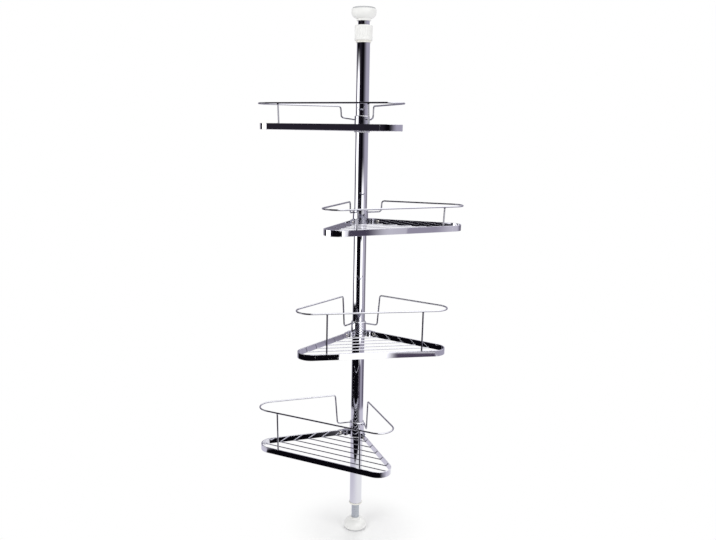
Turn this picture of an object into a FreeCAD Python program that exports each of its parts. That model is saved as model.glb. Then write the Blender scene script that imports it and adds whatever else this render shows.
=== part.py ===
"""Tension pole with four swivelling corner shelves.

A telescopic chromed pole is wedged upright between a floor or rim and a ceiling: a sprung foot presses
downwards, and an inner tube, held by a twist lock, sets the reach.  Four three-cornered wire shelves hang on
the pole.  Each has a collar that sits on a split wedge, so it can be set at any height and turned round the
pole.  The two upper shelves have a low guard rail and the two lower ones a high rail.

Frame: millimetres, +Z up, origin at the middle of the foot's underside, on the pole's axis.  A shelf is drawn
in its own frame first: its collar's axis on the origin, the top edge of its flat strip at height 0 and its
long front towards -Y.  It is then turned about Z and lifted to its place.
"""

import FreeCAD
import Part
import math
import os

# ---------------------------------------------------------------- driving sizes, millimetres and degrees
# outer tubes, screwed end to end on a joiner
TUBE_OD = 25.0
TUBE_WALL = 1.0
LOWER_TUBE_LENGTH = 482.0
UPPER_TUBE_LENGTH = 460.0
TUBE_END_CHAMFER = 0.3
JOINER_LENGTH = 60.0
JOINER_WALL = 2.0

# inner tube
INNER_WALL = 0.8
TELESCOPE_GAP = 0.5
INNER_REST_GAP = 5.0
GUIDE_FLANGE_HEIGHT = 10.0
GUIDE_PLUG_HEIGHT = 20.0

# running and seating clearances, each on the radius
SLIDE_CLEARANCE = 0.05
THREAD_CLEARANCE = 0.10
RIVET_CLEARANCE = 0.10
LIP_CLEARANCE = 0.30

# twist lock at the top of the outer tubes
FERRULE_OVERLAP = 10.0
FERRULE_WALL = 1.6
FERRULE_BODY = 10.0
FINGER_LENGTH = 8.0
FINGER_COUNT = 6
FINGER_SLOT = 1.2
FINGER_TIP_WALL = 1.2
NUT_SHOW = 4.0
NUT_WALL = 2.8
NUT_LIP = 3.0
NUT_TOP_GAP = 0.4
NUT_EDGE = 1.0
NUT_FLUTES = 18
NUT_FLUTE_RADIUS = 1.6
NUT_FLUTE_DEPTH = 0.7
NUT_FLUTE_MARGIN = 4.0

# end pads and cups, the same at the floor and at the ceiling
PAD_RADIUS = 21.5
PAD_HEIGHT = 6.0
PAD_PROUD = 3.0
PAD_EDGE = 1.0
CUP_RIM = 2.0
CUP_SKIRT = 5.0
CUP_DOME = 12.0
CUP_DOME_SLANT = 40.0
CUP_NECK = 4.0
CUP_NECK_WALL = 2.5
CUP_FLOOR = 3.0
CEILING_GAP = 8.0

# sprung foot
FOOT_TRAVEL = 30.0
FOOT_STOP_GAP = 1.0
STEM_RADIUS = 8.0
STEM_TIP_LENGTH = 12.0
BUSH_FLANGE_RIM = 1.1
BUSH_FLANGE_HEIGHT = 3.0
BUSH_LENGTH = 25.0
RETAINER_GAP = 0.7
RETAINER_HEIGHT = 3.0
SPRING_LENGTH = 100.0
SPRING_GAP = 1.4
SPRING_WIRE = 2.2
SPRING_TURNS = 13
SPRING_CORE_GAP = 0.9
SEAT_HEIGHT = 12.0
SEAT_SPIGOT = 8.0
SEAT_PIN_RADIUS = 1.5
SEAT_PIN_INSET = 0.1

# shelf: flat strip bent to a three-cornered frame, right-angled at the pole
STRIP_HEIGHT = 11.0
STRIP_THICKNESS = 2.0
STRIP_EDGE = 0.3
STRIP_END_ROUND = 5.0
STRIP_END_GAP = 0.5
FRONT_REACH = 166.0
SIDE_OFFSET = 5.3
CORNER_RADIUS = 25.5
HALF_ANGLE = 45.0

# shelf: wires
WIRE_RADIUS = 1.5
FLOOR_WIRE_RADIUS = 1.0
FLOOR_FIRST = 29.0
FLOOR_PITCH = 20.6
FLOOR_LAST_GAP = 6.0
POST_INSET = 24.5
RAIL_FLARE = 1.7
RAIL_LOW = 35.0
RAIL_HIGH = 75.0
DROP_GAP = 24.4
DROP_LEAN = 5.0
DROP_TOP_BEND = 5.0
DROP_FOOT_BEND = 6.0
DROP_FOOT_RISE = 3.0
TAIL_DROP = 6.5
TAIL_KNEE = 8.0
TAIL_KNEE_BEND = 15.0
TAIL_GROOVE = 0.4

# shelf: collar, its two ears and their rivets
COLLAR_WALL = 0.95
COLLAR_DROP = 1.0
COLLAR_TOP = 17.5
COLLAR_TIP_WALL = 1.3
COLLAR_EDGE = 0.6
EAR_NECK = 1.4
EAR_NECK_THICKNESS = 4.0
EAR_BOSS_RADIUS = 5.5
EAR_THICKNESS = 2.5
EAR_OVERRUN = 6.0
RIVET_INSET = 6.0
RIVET_RADIUS = 2.0
RIVET_HEAD_RADIUS = 3.3
RIVET_HEAD_HEIGHT = 1.5

# shelf: split wedge between collar and pole
WEDGE_BOTTOM_WALL = 1.85
WEDGE_TOP_WALL = 0.75
WEDGE_PROUD = 1.0
WEDGE_FLANGE_INSET = 0.4
WEDGE_FLANGE_HEIGHT = 1.4
WEDGE_SEAT_GAP = 0.1
WEDGE_SPLIT = 0.8

# the shelves' heights, from strip edge to strip edge: the first below the upper tube's end, then each below
# the last one
SHELF_1_BELOW = 163.0
SHELF_2_BELOW = 179.0
SHELF_3_BELOW = 226.0
SHELF_4_BELOW = 213.0

# the shelves' turns about the pole from straight ahead, in degrees, which the user sets freely
SHELF_1_TURN_ANGLE = -24.5
SHELF_2_TURN_ANGLE = 26.2
SHELF_3_TURN_ANGLE = 10.5
SHELF_4_TURN_ANGLE = -25.9

# working limits: the largest share of a run or wall that a rounding takes, how far a cutting bar stands out,
# and the difference below which two lengths count as the same
ROUNDING_SHARE = 0.48
CUT_SPARE = 1.0
SAME = 0.001

# the shelves from the top down: how far each lies below what is above it, its turn about the pole, and its
# guard rail's height above the strip
SHELVES = (
    ("shelf_1", SHELF_1_BELOW, SHELF_1_TURN_ANGLE, RAIL_LOW),
    ("shelf_2", SHELF_2_BELOW, SHELF_2_TURN_ANGLE, RAIL_LOW),
    ("shelf_3", SHELF_3_BELOW, SHELF_3_TURN_ANGLE, RAIL_HIGH),
    ("shelf_4", SHELF_4_BELOW, SHELF_4_TURN_ANGLE, RAIL_HIGH),
)

# ---------------------------------------------------------------- sizes that follow
# radii, from the outer tube inwards and outwards
TUBE_R = TUBE_OD / 2
BORE_R = TUBE_R - TUBE_WALL
INNER_R = BORE_R - TELESCOPE_GAP
INNER_BORE_R = INNER_R - INNER_WALL
FERRULE_R = TUBE_R + FERRULE_WALL
FERRULE_BORE_R = INNER_R + SLIDE_CLEARANCE
FINGER_R = FERRULE_BORE_R + FINGER_TIP_WALL
NUT_BORE_R = FERRULE_R + THREAD_CLEARANCE
NUT_R = NUT_BORE_R + NUT_WALL
CUP_R = PAD_RADIUS + CUP_RIM
SPRING_R = BORE_R - SPRING_GAP - SPRING_WIRE / 2
SPIGOT_R = SPRING_R - SPRING_WIRE / 2 - SPRING_CORE_GAP
WEDGE_BORE_R = TUBE_R + SLIDE_CLEARANCE
WEDGE_BOTTOM_R = WEDGE_BORE_R + WEDGE_BOTTOM_WALL
WEDGE_TOP_R = WEDGE_BORE_R + WEDGE_TOP_WALL
COLLAR_R = WEDGE_BOTTOM_R + SLIDE_CLEARANCE + COLLAR_WALL
COLLAR_TIP_R = WEDGE_TOP_R + SLIDE_CLEARANCE + COLLAR_TIP_WALL

# heights up the pole
CUP_HEIGHT = PAD_PROUD + CUP_SKIRT + CUP_DOME + CUP_NECK
SOCKET_DEPTH = CUP_HEIGHT - PAD_HEIGHT - CUP_FLOOR
TUBE_BOTTOM = CUP_HEIGHT + FOOT_TRAVEL + FOOT_STOP_GAP + BUSH_FLANGE_HEIGHT
TUBE_JOINT = TUBE_BOTTOM + LOWER_TUBE_LENGTH
TUBE_TOP = TUBE_JOINT + UPPER_TUBE_LENGTH
RETAINER_BOTTOM = TUBE_BOTTOM + BUSH_LENGTH
SPRING_BOTTOM = RETAINER_BOTTOM + RETAINER_HEIGHT
SEAT_BOTTOM = SPRING_BOTTOM + SPRING_LENGTH
GUIDE_BOTTOM = TUBE_JOINT + JOINER_LENGTH / 2 + INNER_REST_GAP
INNER_BOTTOM = GUIDE_BOTTOM + GUIDE_FLANGE_HEIGHT
FERRULE_BODY_TOP = TUBE_TOP + FERRULE_BODY
FERRULE_TOP = FERRULE_BODY_TOP + FINGER_LENGTH
NUT_BOTTOM = TUBE_TOP - FERRULE_OVERLAP + NUT_SHOW
NUT_TOP = FERRULE_TOP + NUT_TOP_GAP + NUT_LIP
CEILING = NUT_TOP + CEILING_GAP + CUP_HEIGHT
INNER_TOP = CEILING - CUP_HEIGHT + SOCKET_DEPTH

# heights on a shelf, from the strip's top edge
COLLAR_BOTTOM = -STRIP_HEIGHT - COLLAR_DROP
TAIL_HEIGHT = COLLAR_TOP - TAIL_DROP
DROP_FOOT = TAIL_HEIGHT + DROP_FOOT_RISE
RIVET_HEIGHT = -STRIP_HEIGHT / 2

# reaches out from the pole's axis: along a side strip, and square to it
EAR_MIDDLE = SIDE_OFFSET - STRIP_THICKNESS / 2
BOSS_REACH = COLLAR_R + EAR_NECK + EAR_BOSS_RADIUS
STRIP_START = BOSS_REACH + EAR_BOSS_RADIUS + STRIP_END_GAP
RIVET_REACH = STRIP_START + RIVET_INSET
EAR_END = RIVET_REACH + EAR_OVERRUN
DROP_REACH = COLLAR_R + DROP_GAP
RAIL_OUT = SIDE_OFFSET + RAIL_FLARE
RAIL_FRONT = FRONT_REACH + RAIL_FLARE

V = FreeCAD.Vector
UP = V(0, 0, 1)
ORIGIN = V(0, 0, 0)


# ---------------------------------------------------------------- general helpers
def save(node, *solids):
    """Writes one node's STEP file from its separate solids."""
    shape = solids[0] if len(solids) == 1 else Part.makeCompound(list(solids))
    shape.exportStep("parts/%s.step" % node)


def turned(points):
    """A solid of revolution about Z from a closed profile of (radius, height) points."""
    wire = Part.makePolygon([V(r, 0, z) for r, z in points + points[:1]])
    return Part.Face(wire).revolve(ORIGIN, UP, 360).Solids[0]


def ring(outer, inner, bottom, top):
    """A plain sleeve about Z."""
    return turned([(inner, bottom), (outer, bottom), (outer, top), (inner, top)])


def disc(radius, bottom, top):
    """A plain cylinder about Z."""
    return Part.makeCylinder(radius, top - bottom, V(0, 0, bottom))


def joined(*solids):
    """One solid from several that meet."""
    return solids[0].fuse(list(solids[1:])).removeSplitter().Solids[0]


def mirrored(shape):
    """The same shape on the other side of the shelf's middle plane."""
    return shape.mirror(ORIGIN, V(1, 0, 0))


def bent_path(points, radii):
    """Edges along straight runs whose inner corners are rounded, each radius limited by its two runs."""
    edges = []
    here = points[0]
    for before, corner, after, radius in zip(points, points[1:], points[2:], radii):
        back = (before - corner).normalize()
        ahead = (after - corner).normalize()
        half = back.getAngle(ahead) / 2
        room = ROUNDING_SHARE * min(corner.distanceToPoint(before), corner.distanceToPoint(after))
        radius = min(radius, room * math.tan(half))
        reach = radius / math.tan(half)
        start = corner + back * reach
        end = corner + ahead * reach
        middle = corner + (back + ahead).normalize() * (radius / math.sin(half) - radius)
        edges.append(Part.makeLine(here, start))
        edges.append(Part.Arc(start, middle, end).toShape())
        here = end
    edges.append(Part.makeLine(here, points[-1]))
    return edges


def rod(edges, radius):
    """A round bar swept along tangent edges."""
    first = edges[0]
    start = first.valueAt(first.FirstParameter)
    along = first.tangentAt(first.FirstParameter)
    section = Part.Wire([Part.makeCircle(radius, start, along)])
    return Part.Wire(edges).makePipeShell([section], True, False).Solids[0]


# ---------------------------------------------------------------- pole
def outer_tube(bottom, top):
    """One length of outer tube with a fine chamfer at each end."""
    return turned([
        (BORE_R, bottom),
        (TUBE_R - TUBE_END_CHAMFER, bottom),
        (TUBE_R, bottom + TUBE_END_CHAMFER),
        (TUBE_R, top - TUBE_END_CHAMFER),
        (TUBE_R - TUBE_END_CHAMFER, top),
        (BORE_R, top),
    ])


def lower_tube():
    """The lower length, drilled through for the spring seat's pin."""
    return outer_tube(TUBE_BOTTOM, TUBE_JOINT).cut(cross_pin(2 * TUBE_R)).Solids[0]


def tube_joiner():
    """Sleeve inside the butt joint of the two outer tubes."""
    half = JOINER_LENGTH / 2
    return ring(BORE_R, BORE_R - JOINER_WALL, TUBE_JOINT - half, TUBE_JOINT + half)


def inner_guide_ring():
    """Nylon plug in the foot of the inner tube, whose flange runs in the outer tube."""
    flange = disc(BORE_R - SLIDE_CLEARANCE, GUIDE_BOTTOM, INNER_BOTTOM)
    plug = disc(INNER_BORE_R, INNER_BOTTOM, INNER_BOTTOM + GUIDE_PLUG_HEIGHT)
    return joined(flange, plug)


def lock_ferrule():
    """Collet: a skirt over the tube's end, a threaded body, and split tapering fingers on the inner tube."""
    body = turned([
        (TUBE_R, TUBE_TOP - FERRULE_OVERLAP),
        (FERRULE_R, TUBE_TOP - FERRULE_OVERLAP),
        (FERRULE_R, FERRULE_BODY_TOP),
        (FINGER_R, FERRULE_TOP),
        (FERRULE_BORE_R, FERRULE_TOP),
        (FERRULE_BORE_R, TUBE_TOP),
        (TUBE_R, TUBE_TOP),
    ])
    for n in range(FINGER_COUNT // 2):
        slot = Part.makeBox(4 * FERRULE_R, FINGER_SLOT, 2 * FINGER_LENGTH)
        slot.translate(V(-2 * FERRULE_R, -FINGER_SLOT / 2, FERRULE_BODY_TOP))
        slot.rotate(ORIGIN, UP, n * 360.0 / FINGER_COUNT)
        body = body.cut(slot)
    return body.Solids[0]


def lock_nut():
    """Fluted nut that draws its cone down over the collet's fingers."""
    lip_r = INNER_R + LIP_CLEARANCE
    tip_r = FINGER_R + THREAD_CLEARANCE
    nut = turned([
        (NUT_BORE_R, NUT_BOTTOM),
        (NUT_R - NUT_EDGE, NUT_BOTTOM),
        (NUT_R, NUT_BOTTOM + NUT_EDGE),
        (NUT_R, NUT_TOP - 2 * NUT_EDGE),
        (NUT_R - 2 * NUT_EDGE, NUT_TOP),
        (lip_r, NUT_TOP),
        (lip_r, NUT_TOP - NUT_LIP),
        (tip_r, NUT_TOP - NUT_LIP),
        (NUT_BORE_R, FERRULE_BODY_TOP + NUT_TOP_GAP),
    ])
    flute_length = NUT_TOP - NUT_BOTTOM - 2 * NUT_FLUTE_MARGIN
    for n in range(NUT_FLUTES):
        flute = Part.makeCylinder(NUT_FLUTE_RADIUS, flute_length)
        flute.translate(V(NUT_R + NUT_FLUTE_RADIUS - NUT_FLUTE_DEPTH, 0, NUT_BOTTOM + NUT_FLUTE_MARGIN))
        flute.rotate(ORIGIN, UP, n * 360.0 / NUT_FLUTES)
        nut = nut.cut(flute)
    return nut.Solids[0]


def cup(bore):
    """End cup, drawn as a foot: recess for the pad below, domed shoulder, neck with a blind socket on top."""
    shoulder = PAD_PROUD + CUP_SKIRT
    neck_bottom = shoulder + CUP_DOME
    neck_r = bore + CUP_NECK_WALL
    socket_floor = CUP_HEIGHT - SOCKET_DEPTH
    slant = math.radians(CUP_DOME_SLANT)
    dome_middle = V(
        neck_r + (CUP_R - neck_r) * math.cos(slant),
        0,
        shoulder + CUP_DOME * math.sin(slant),
    )
    dome = Part.Arc(V(CUP_R, 0, shoulder), dome_middle, V(neck_r, 0, neck_bottom)).toShape()
    below = [
        (0, PAD_HEIGHT),
        (PAD_RADIUS, PAD_HEIGHT),
        (PAD_RADIUS, PAD_PROUD),
        (CUP_R, PAD_PROUD),
        (CUP_R, shoulder),
    ]
    above = [
        (neck_r, neck_bottom),
        (neck_r, CUP_HEIGHT),
        (bore, CUP_HEIGHT),
        (bore, socket_floor),
        (0, socket_floor),
        (0, PAD_HEIGHT),
    ]
    lower_side = Part.makePolygon([V(r, 0, z) for r, z in below])
    upper_side = Part.makePolygon([V(r, 0, z) for r, z in above])
    outline = Part.Wire(lower_side.Edges + [dome] + upper_side.Edges)
    return Part.Face(outline).revolve(ORIGIN, UP, 360).Solids[0]


def pad():
    """Rubber pad, flat underneath at height 0, with a rounded lower edge."""
    body = disc(PAD_RADIUS, 0, PAD_HEIGHT)
    lower_rim = [edge for edge in body.Edges if edge.BoundBox.ZMax < PAD_HEIGHT / 2]
    return body.makeFillet(PAD_EDGE, lower_rim).Solids[0]


def at_ceiling(shape):
    """Turns a foot piece upside down and puts it at the ceiling end."""
    shape = shape.copy()
    shape.rotate(ORIGIN, V(1, 0, 0), 180)
    shape.translate(V(0, 0, CEILING))
    return shape


def foot_stem():
    """Shaft from the foot cup up through the bush and retainer, with a tip that centres the spring."""
    shaft = disc(STEM_RADIUS, CUP_HEIGHT - SOCKET_DEPTH, SPRING_BOTTOM)
    tip = disc(SPIGOT_R, SPRING_BOTTOM, SPRING_BOTTOM + STEM_TIP_LENGTH)
    return joined(shaft, tip)


def foot_bush():
    """Nylon bush in the lower tube's end, with a flange below it."""
    bore = STEM_RADIUS + SLIDE_CLEARANCE
    return turned([
        (bore, TUBE_BOTTOM - BUSH_FLANGE_HEIGHT),
        (TUBE_R + BUSH_FLANGE_RIM, TUBE_BOTTOM - BUSH_FLANGE_HEIGHT),
        (TUBE_R + BUSH_FLANGE_RIM, TUBE_BOTTOM),
        (BORE_R, TUBE_BOTTOM),
        (BORE_R, RETAINER_BOTTOM),
        (bore, RETAINER_BOTTOM),
    ])


def tension_spring():
    """Round-wire compression spring between the retainer and the seat, its end turns cut flat."""
    pitch = SPRING_LENGTH / SPRING_TURNS
    helix = Part.makeHelix(pitch, SPRING_LENGTH + pitch, SPRING_R)
    section = Part.Wire([Part.makeCircle(SPRING_WIRE / 2, V(SPRING_R, 0, 0), V(0, 1, 0))])
    coil = Part.Wire(helix.Edges).makePipeShell([section], True, True).Solids[0]
    coil.translate(V(0, 0, SPRING_BOTTOM - pitch / 2))
    return coil.common(disc(BORE_R, SPRING_BOTTOM, SEAT_BOTTOM)).Solids[0]


def cross_pin(half_length):
    """A bar across the pole along X, at the middle of the spring seat."""
    start = V(-half_length, 0, SEAT_BOTTOM + SEAT_HEIGHT / 2)
    return Part.makeCylinder(SEAT_PIN_RADIUS, 2 * half_length, start, V(1, 0, 0))


def spring_seat():
    """Plug pinned across the lower tube, with a spigot that centres the spring."""
    plug = disc(BORE_R, SEAT_BOTTOM, SEAT_BOTTOM + SEAT_HEIGHT)
    spigot = disc(SPIGOT_R, SEAT_BOTTOM - SEAT_SPIGOT, SEAT_BOTTOM)
    return joined(plug, spigot).cut(cross_pin(TUBE_R)).Solids[0]


def build_pole():
    save("lower_tube", lower_tube())
    save("upper_tube", outer_tube(TUBE_JOINT, TUBE_TOP))
    save("tube_joiner", tube_joiner())
    save("inner_tube", ring(INNER_R, INNER_BORE_R, INNER_BOTTOM, INNER_TOP))
    save("inner_guide_ring", inner_guide_ring())
    save("lock_ferrule", lock_ferrule())
    save("lock_nut", lock_nut())
    save("ceiling_cup", at_ceiling(cup(INNER_R)))
    save("ceiling_pad", at_ceiling(pad()))
    save("foot_cup", cup(STEM_RADIUS))
    save("foot_pad", pad())
    save("foot_stem", foot_stem())
    save("foot_bush", foot_bush())
    save("foot_retainer", ring(BORE_R - RETAINER_GAP, STEM_RADIUS, RETAINER_BOTTOM, SPRING_BOTTOM))
    save("tension_spring", tension_spring())
    save("spring_seat", spring_seat())
    save("seat_pin", cross_pin(TUBE_R - SEAT_PIN_INSET))


# ---------------------------------------------------------------- shelf, in its own frame
HALF = math.radians(HALF_ANGLE)
SIDE_WAY = V(math.sin(HALF), -math.cos(HALF), 0)
SIDE_OUT = V(math.cos(HALF), math.sin(HALF), 0)


def on_side(out, reach, height=0.0):
    """A point beside the right-hand side strip: out from the pole's axis, and reach along the strip."""
    return SIDE_OUT * out + SIDE_WAY * reach + V(0, 0, height)


def front_corner(out, front, height=0.0):
    """Where the right-hand side line, out from the axis, meets the front line."""
    return on_side(out, (front + out * math.sin(HALF)) / math.cos(HALF), height)


def side_plate(inner, outer, start, end, bottom, top):
    """An upright plate beside the right-hand side strip, between two offsets and two reaches."""
    corners = [
        on_side(inner, start, bottom),
        on_side(inner, end, bottom),
        on_side(outer, end, bottom),
        on_side(outer, start, bottom),
    ]
    return Part.Face(Part.makePolygon(corners + corners[:1])).extrude(V(0, 0, top - bottom))


def inside_outline(inset):
    """Edges of the frame's outline at an inset, from the side strip's end to the middle of the front."""
    out = SIDE_OFFSET - inset
    front = FRONT_REACH - inset
    points = [on_side(out, STRIP_START), front_corner(out, front), V(0, -front, 0)]
    return bent_path(points, [CORNER_RADIUS - inset])


def half_plan(edges, closing_points):
    """The right half of a plan shape: rounded edges closed by straight lines through some points."""
    closing = Part.makePolygon(closing_points)
    return Part.Face(Part.Wire(edges + closing.Edges))


def frame_strip():
    """Flat strip from one ear round both front corners to the other, its ends rounded."""
    outer = inside_outline(0.0)
    inner = inside_outline(STRIP_THICKNESS)
    middle = [V(0, -FRONT_REACH, 0), V(0, STRIP_THICKNESS - FRONT_REACH, 0)]
    end = [on_side(SIDE_OFFSET - STRIP_THICKNESS, STRIP_START), on_side(SIDE_OFFSET, STRIP_START)]
    plan = Part.Wire(Part.__sortEdges__(outer + inner + [Part.makeLine(*middle), Part.makeLine(*end)]))
    half = Part.Face(plan).extrude(V(0, 0, -STRIP_HEIGHT))
    strip = joined(half, mirrored(half))
    end_edges = [
        edge for edge in strip.Edges
        if abs(edge.Length - STRIP_THICKNESS) < SAME and edge.BoundBox.ZLength < SAME
    ]
    strip = strip.makeFillet(min(STRIP_END_ROUND, ROUNDING_SHARE * STRIP_HEIGHT), end_edges)
    long_edges = [
        edge for edge in strip.Edges
        if edge.BoundBox.ZLength < SAME and edge.Length > STRIP_THICKNESS + SAME
    ]
    strip = strip.makeFillet(min(STRIP_EDGE, ROUNDING_SHARE * STRIP_THICKNESS), long_edges)
    hole = rivet_bar(RIVET_RADIUS + RIVET_CLEARANCE, CUT_SPARE)
    return strip.cut(hole).cut(mirrored(hole)).Solids[0]


def floor_wires():
    """Straight wires from side strip to side strip, cut to the strip's inner face."""
    edges = inside_outline(STRIP_THICKNESS)
    front_middle = V(0, STRIP_THICKNESS - FRONT_REACH, 0)
    half = half_plan(edges, [front_middle, ORIGIN, on_side(SIDE_OFFSET - STRIP_THICKNESS, STRIP_START)])
    half = half.extrude(V(0, 0, -2 * STRIP_HEIGHT))
    inside = joined(half, mirrored(half))
    room = FRONT_REACH - STRIP_THICKNESS - FLOOR_WIRE_RADIUS - FLOOR_LAST_GAP - FLOOR_FIRST
    wires = []
    for n in range(int(room / FLOOR_PITCH) + 1):
        start = V(-2 * FRONT_REACH, -FLOOR_FIRST - n * FLOOR_PITCH, FLOOR_WIRE_RADIUS - STRIP_HEIGHT)
        bar = Part.makeCylinder(FLOOR_WIRE_RADIUS, 4 * FRONT_REACH, start, V(1, 0, 0))
        wires.append(bar.common(inside).Solids[0])
    return wires


def collar_outside(height):
    """Radius of the collar's tapered outside at a height."""
    share = (height - COLLAR_BOTTOM) / (COLLAR_TOP - COLLAR_BOTTOM)
    return COLLAR_R + (COLLAR_TIP_R - COLLAR_R) * share


def guard_rail(height):
    """Rail wire: front, corners, sides, leaning drops beside the pole, and a tail round the collar's back."""
    tail_r = collar_outside(TAIL_HEIGHT) + WIRE_RADIUS - TAIL_GROOVE
    foot_of_drop = on_side(RAIL_OUT, DROP_REACH, DROP_FOOT)
    lean = (height - DROP_FOOT) * math.tan(math.radians(DROP_LEAN))
    distance = math.hypot(foot_of_drop.x, foot_of_drop.y)
    touch_angle = math.atan2(foot_of_drop.y, foot_of_drop.x) + math.acos(tail_r / distance)
    touch = V(tail_r * math.cos(touch_angle), tail_r * math.sin(touch_angle), TAIL_HEIGHT)
    back = V(foot_of_drop.x - touch.x, foot_of_drop.y - touch.y, 0).normalize()
    points = [
        V(0, -RAIL_FRONT, height),
        front_corner(RAIL_OUT, RAIL_FRONT, height),
        on_side(RAIL_OUT, DROP_REACH + lean, height),
        foot_of_drop,
        touch + back * TAIL_KNEE,
        touch,
    ]
    radii = [CORNER_RADIUS + RAIL_FLARE, DROP_TOP_BEND, DROP_FOOT_BEND, TAIL_KNEE_BEND]
    middle_angle = (touch_angle + math.pi / 2) / 2
    middle = V(tail_r * math.cos(middle_angle), tail_r * math.sin(middle_angle), TAIL_HEIGHT)
    tail = Part.Arc(touch, middle, V(0, tail_r, TAIL_HEIGHT)).toShape()
    half = rod(bent_path(points, radii) + [tail], WIRE_RADIUS)
    return joined(half, mirrored(half))


def rail_posts(height, rail):
    """Two short wires that stand on the strip's top edge and meet the rail's underside."""
    corner = front_corner(SIDE_OFFSET, FRONT_REACH)
    corner_run = CORNER_RADIUS / math.tan(HALF / 2)
    across = corner.x - corner_run - POST_INSET
    foot = V(across, STRIP_THICKNESS / 2 - FRONT_REACH, 0)
    lean = (V(across, -RAIL_FRONT, height) - foot).normalize()
    start = foot - lean * STRIP_HEIGHT
    post = Part.makeCylinder(WIRE_RADIUS, height + 2 * STRIP_HEIGHT, start, lean)
    corner_below = V(across - STRIP_HEIGHT, -FRONT_REACH - STRIP_HEIGHT, -2 * STRIP_HEIGHT)
    below = Part.makeBox(2 * STRIP_HEIGHT, 2 * STRIP_HEIGHT, 2 * STRIP_HEIGHT, corner_below)
    pieces = post.cut(below).cut(rail).Solids
    lowest = min(pieces, key=lambda piece: piece.BoundBox.ZMin)
    return [lowest, mirrored(lowest)]


def collar_bore(height):
    """Radius of the collar's tapered bore at a height."""
    share = (height - COLLAR_BOTTOM) / (COLLAR_TOP - COLLAR_BOTTOM)
    return WEDGE_BOTTOM_R + (WEDGE_TOP_R - WEDGE_BOTTOM_R) * share + SLIDE_CLEARANCE


def rivet_bar(radius, spare):
    """A bar through the right-hand strip and ear on the rivet's axis, longer by a spare length each way."""
    start = on_side(SIDE_OFFSET - STRIP_THICKNESS - spare, RIVET_REACH, RIVET_HEIGHT)
    return Part.makeCylinder(radius, STRIP_THICKNESS + EAR_THICKNESS + 2 * spare, start, SIDE_OUT)


def ear():
    """Right-hand ear: a neck and a round boss beside the collar, and a plate outside the strip's end."""
    bottom = -STRIP_HEIGHT
    neck_in = EAR_MIDDLE - EAR_NECK_THICKNESS / 2
    neck = side_plate(neck_in, neck_in + EAR_NECK_THICKNESS, 0, BOSS_REACH, bottom, 0)
    boss = Part.makeCylinder(EAR_BOSS_RADIUS, STRIP_HEIGHT, on_side(EAR_MIDDLE, BOSS_REACH, bottom))
    plate = side_plate(SIDE_OFFSET, SIDE_OFFSET + EAR_THICKNESS, BOSS_REACH, EAR_END, bottom, 0)
    end_edges = [
        edge for edge in plate.Edges
        if abs(edge.Length - EAR_THICKNESS) < SAME and edge.CenterOfMass.dot(SIDE_WAY) > EAR_END - SAME
    ]
    plate = plate.makeFillet(min(STRIP_END_ROUND, ROUNDING_SHARE * STRIP_HEIGHT), end_edges)
    return joined(neck, boss, plate)


def collar(rail):
    """Collar with a tapered outside and bore and two ears; the rail's tail lies in a groove."""
    body = turned([
        (0, COLLAR_BOTTOM),
        (COLLAR_R - COLLAR_EDGE, COLLAR_BOTTOM),
        (collar_outside(COLLAR_BOTTOM + COLLAR_EDGE), COLLAR_BOTTOM + COLLAR_EDGE),
        (collar_outside(COLLAR_TOP - COLLAR_EDGE), COLLAR_TOP - COLLAR_EDGE),
        (COLLAR_TIP_R - COLLAR_EDGE, COLLAR_TOP),
        (0, COLLAR_TOP),
    ])
    right_ear = ear()
    body = joined(body, right_ear, mirrored(right_ear))
    bore = turned([
        (0, COLLAR_BOTTOM),
        (collar_bore(COLLAR_BOTTOM), COLLAR_BOTTOM),
        (collar_bore(COLLAR_TOP), COLLAR_TOP),
        (0, COLLAR_TOP),
    ])
    hole = rivet_bar(RIVET_RADIUS + RIVET_CLEARANCE, CUT_SPARE)
    return body.cut(bore).cut(hole).cut(mirrored(hole)).cut(rail).Solids[0]


def rivet():
    """Right-hand rivet with a domed head against the strip and another against the ear."""
    ball = (RIVET_HEAD_RADIUS ** 2 + RIVET_HEAD_HEIGHT ** 2) / (2 * RIVET_HEAD_HEIGHT)
    ends = (
        (SIDE_OFFSET - STRIP_THICKNESS, SIDE_OUT * -1),
        (SIDE_OFFSET + EAR_THICKNESS, SIDE_OUT),
    )
    pieces = [rivet_bar(RIVET_RADIUS, 0.0)]
    for out, way in ends:
        seat = on_side(out, RIVET_REACH, RIVET_HEIGHT)
        dome = Part.makeSphere(ball, seat - way * (ball - RIVET_HEAD_HEIGHT))
        room = Part.makeCylinder(2 * RIVET_HEAD_RADIUS, 2 * RIVET_HEAD_HEIGHT, seat, way)
        pieces.append(dome.common(room))
    return joined(*pieces)


def wedge_halves():
    """Left and right halves of the tapered sleeve that grips the pole, with a flange under the collar."""
    seat = COLLAR_BOTTOM - WEDGE_SEAT_GAP
    bottom = seat - WEDGE_FLANGE_HEIGHT
    top = COLLAR_TOP + WEDGE_PROUD
    flange_r = COLLAR_R - WEDGE_FLANGE_INSET
    sleeve = turned([
        (WEDGE_BORE_R, bottom),
        (flange_r, bottom),
        (flange_r, seat),
        (collar_bore(seat) - SLIDE_CLEARANCE, seat),
        (collar_bore(top) - SLIDE_CLEARANCE, top),
        (WEDGE_BORE_R, top),
    ])
    size = 2 * (top - bottom) + 2 * COLLAR_R
    right_side = Part.makeBox(size, 2 * size, 2 * size, V(WEDGE_SPLIT / 2, -size, -size))
    right = sleeve.common(right_side).Solids[0]
    return mirrored(right), right


def placed(shape, height, turn):
    """Turns a shelf piece about the pole and lifts it to its height."""
    shape = shape.copy()
    shape.rotate(ORIGIN, UP, turn)
    shape.translate(V(0, 0, height))
    return shape


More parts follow.
